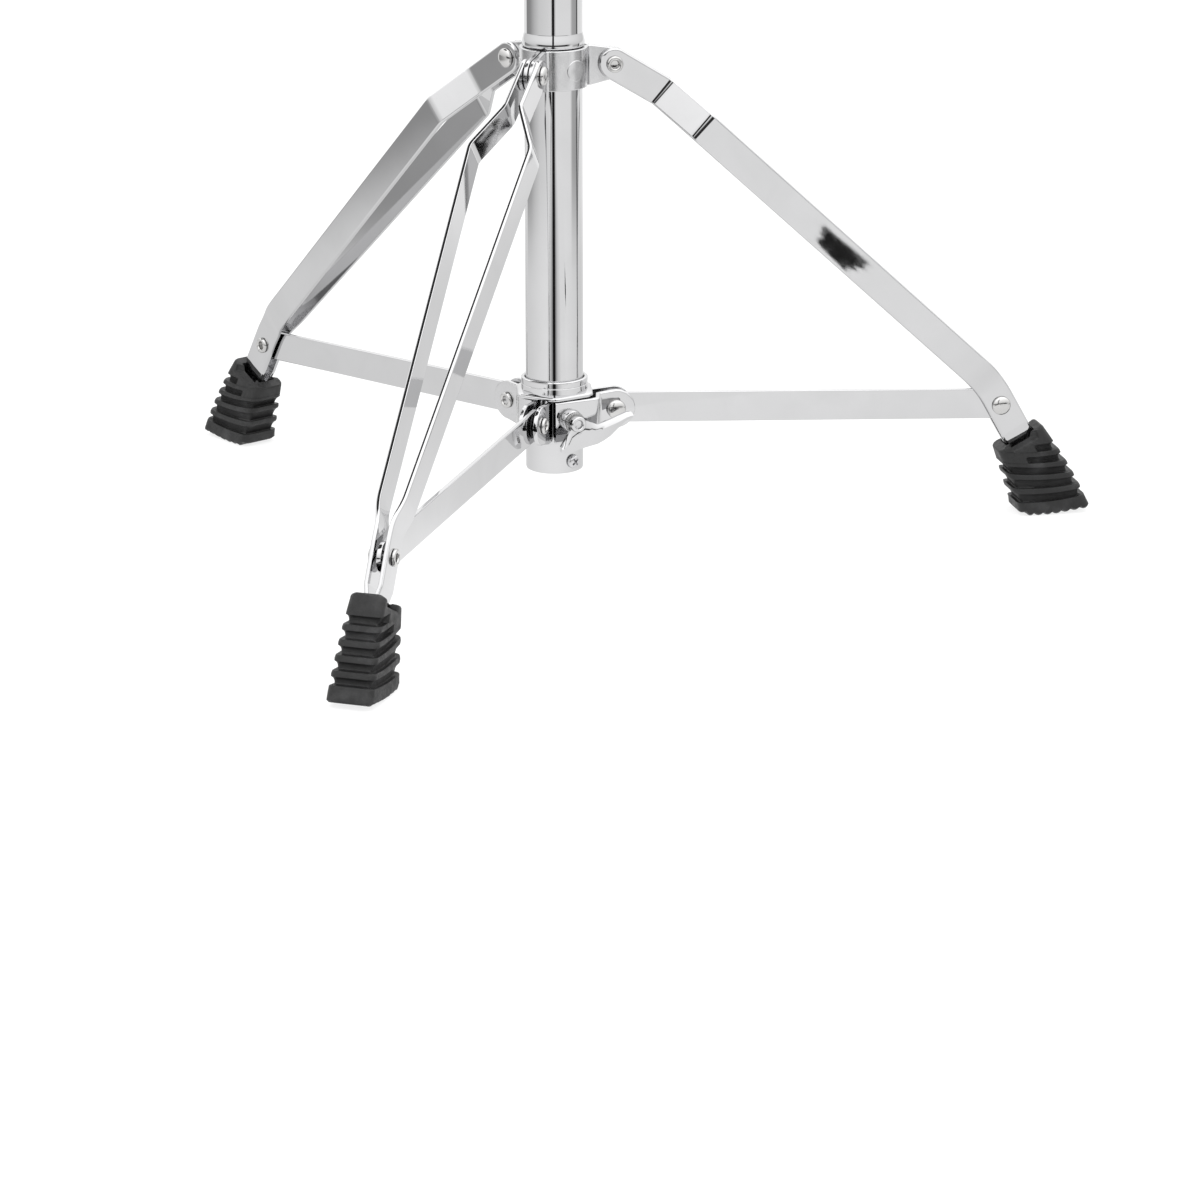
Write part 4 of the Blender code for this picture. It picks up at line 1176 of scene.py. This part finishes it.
def room_look():
    made, values, strength, ahead, aside = floor_values("card_room")
    turn = values.math("ARCTAN2", aside, ahead)
    share = values.math("ADD", values.product(turn, 0.5 / math.pi), 0.5)
    far, wedge = (values.ramp(share, [((degrees + 180) / 360, level / top) for degrees, level in stops])
                  for stops, top in ((ROOM_FAR, ROOM_TOP), (WEDGE, 1.0)))
    distance = values.math("SQRT", values.math("ADD", values.product(ahead, ahead), values.product(aside, aside)))
    forward = values.math("DIVIDE", ahead, distance)
    near = values.math("ADD", values.product(forward, NEAR_SWING), NEAR_LEVEL)
    level = values.blend(values.fade(distance, *NEAR_TO_FAR), near, values.product(far, ROOM_TOP))
    wedge = values.blend(values.fade(distance, *WEDGE_START), 1.0, wedge)
    end = values.product(values.fade(distance, *END_START), values.fade(forward, *FRONT_EDGE))
    values.feed(strength, values.product(level, wedge, values.fade(end, 0.0, 1.0, 1.0, END_LEVEL)))
    return made


def line_look():
    """The dark line up the middle of the tube: an even core with soft sides that are wide close to the tube."""
    made, values, strength, ahead, aside = floor_values("card_line")
    turn = values.math("ARCTAN2", aside, ahead)
    sides = []
    for sign, (wide, thin) in zip((1.0, -1.0), LINE_SIDES):
        beyond = values.math("SUBTRACT", values.product(turn, sign), math.radians(LINE_CORE))
        width = values.fade(ahead, *LINE_SPAN, math.radians(wide), math.radians(thin))
        sides.append(values.math("DIVIDE", beyond, width))
    level = values.ramp(values.math("MAXIMUM", *sides), LINE_STOPS)
    values.feed(strength, values.product(level, ROOM_TOP))
    return made


def add_card(name, points, height, look):
    """A card on the floor that only reflections see."""
    card = stage_mesh(name, [(x, y, height) for x, y in points], look)
    for ray in ("camera", "diffuse", "transmission", "volume_scatter", "shadow"):
        setattr(card, "visible_" + ray, False)


def add_cards():
    center = Vector((0, TUBE_Y * MM))
    heading = polar(1, CAMERA_AZIMUTH)
    side = Vector((-heading.y, heading.x))
    h = FLOOR_HALF - 0.1
    add_card("card_room", [(-h, -h), (h, -h), (h, h), (-h, h)], 0.0004, room_look())
    corners = ((0.22, -0.12), (0.6, -0.26), (1.9, -0.34), (1.9, 0.55), (0.6, 0.55), (0.22, 0.22))
    line = [center + heading * ahead + side * aside for ahead, aside in corners]
    add_card("card_line", line, 0.0008, line_look())
    add_card("card_patch", PATCH, 0.0012, glow("card_patch", PATCH_LEVEL))


def add_floor():
    look, tree, shader = new_material("studio_floor")
    tone = ramp_node(tree, noise_node(tree, 2.0, 3), list(zip((0.2, 0.8), FLOOR_TONES)))
    tree.links.new(tone, shader.inputs["Base Color"])
    shader.inputs["Roughness"].default_value = 0.85
    shader.inputs["Specular IOR Level"].default_value = 0.1
    shader.inputs["Emission Color"].default_value = (1, 1, 1, 1)
    shader.inputs["Emission Strength"].default_value = FLOOR_GLOW
    h = FLOOR_HALF
    stage_mesh("floor", [(-h, -h, 0), (h, -h, 0), (h, h, 0), (-h, h, 0)], look)


def add_world():
    world = bpy.data.worlds.new("studio")
    bpy.context.scene.world = world
    world.use_nodes = True
    tree = world.node_tree
    backdrop = tree.nodes["Background"]
    backdrop.inputs["Color"].default_value = (1, 1, 1, 1)
    coords = tree.nodes.new("ShaderNodeTexCoord")
    sight = coords.outputs["Generated"]
    split = tree.nodes.new("ShaderNodeSeparateXYZ")
    tree.links.new(sight, split.inputs[0])
    rise = split.outputs["Z"]

    values = Values(tree)
    forward = values.dot(sight, (*polar(1, CAMERA_AZIMUTH), 0))
    sideways = values.math("ABSOLUTE", values.dot(sight, (*polar(1, CAMERA_AZIMUTH + 90), 0)))
    up = values.math("MAXIMUM", rise, 0.0)
    sky = values.math("ADD", values.product(up, SKY_RISE), SKY_LEVEL)
    horizon = values.fade(rise, *HORIZON_EDGE, HORIZON_LEVEL, 1.0)
    horizon = values.blend(values.fade(forward, *FRONT_EDGE), 1.0, horizon)
    strip = values.product(values.fade(sideways, *STRIP_EDGE), values.fade(forward, *STRIP_FRONT),
                           values.fade(rise, *STRIP_TOP))
    plan = polar(math.cos(math.radians(SPOT_HEIGHT)), SPOT_AZIMUTH)
    spot = values.dot(sight, (*plan, math.sin(math.radians(SPOT_HEIGHT))))
    strip = values.fade(strip, 0.0, 1.0, 1.0, STRIP_LEVEL)
    spot = values.fade(spot, *SPOT_EDGE, 1.0, SPOT_LEVEL)
    values.feed(backdrop.inputs["Strength"], values.product(sky, horizon, strip, spot))


def add_studio():
    add_floor()
    add_cards()
    add_world()

    lamp = bpy.data.lights.new("overhead", "AREA")
    lamp.shape = "DISK"
    lamp.size = 1.6
    lamp.energy = 16
    overhead = add_object("overhead", lamp)
    overhead.location = (-0.5, -0.7, 2.0)
    overhead.rotation_euler = Vector((0.5, 0.75, -1.85)).to_track_quat("-Z", "Y").to_euler()
    overhead.visible_glossy = False

    view = bpy.data.cameras.new("camera")
    view.lens = CAMERA_LENS
    view.sensor_width = 36
    view.clip_start = 0.05
    view.clip_end = 50
    camera = add_object("camera", view)
    camera.location = CAMERA_PLACE
    camera.rotation_euler = (math.radians(CAMERA_TILT), 0, math.radians(CAMERA_TURN))
    bpy.context.scene.camera = camera
    bpy.context.scene.view_settings.view_transform = "Standard"


add_studio()
add_tube()
add_upper_hub()
add_lower_hub()
add_lock()
for leg_name in LEGS:
    add_leg(leg_name)
    add_brace(leg_name)
add_clamp()
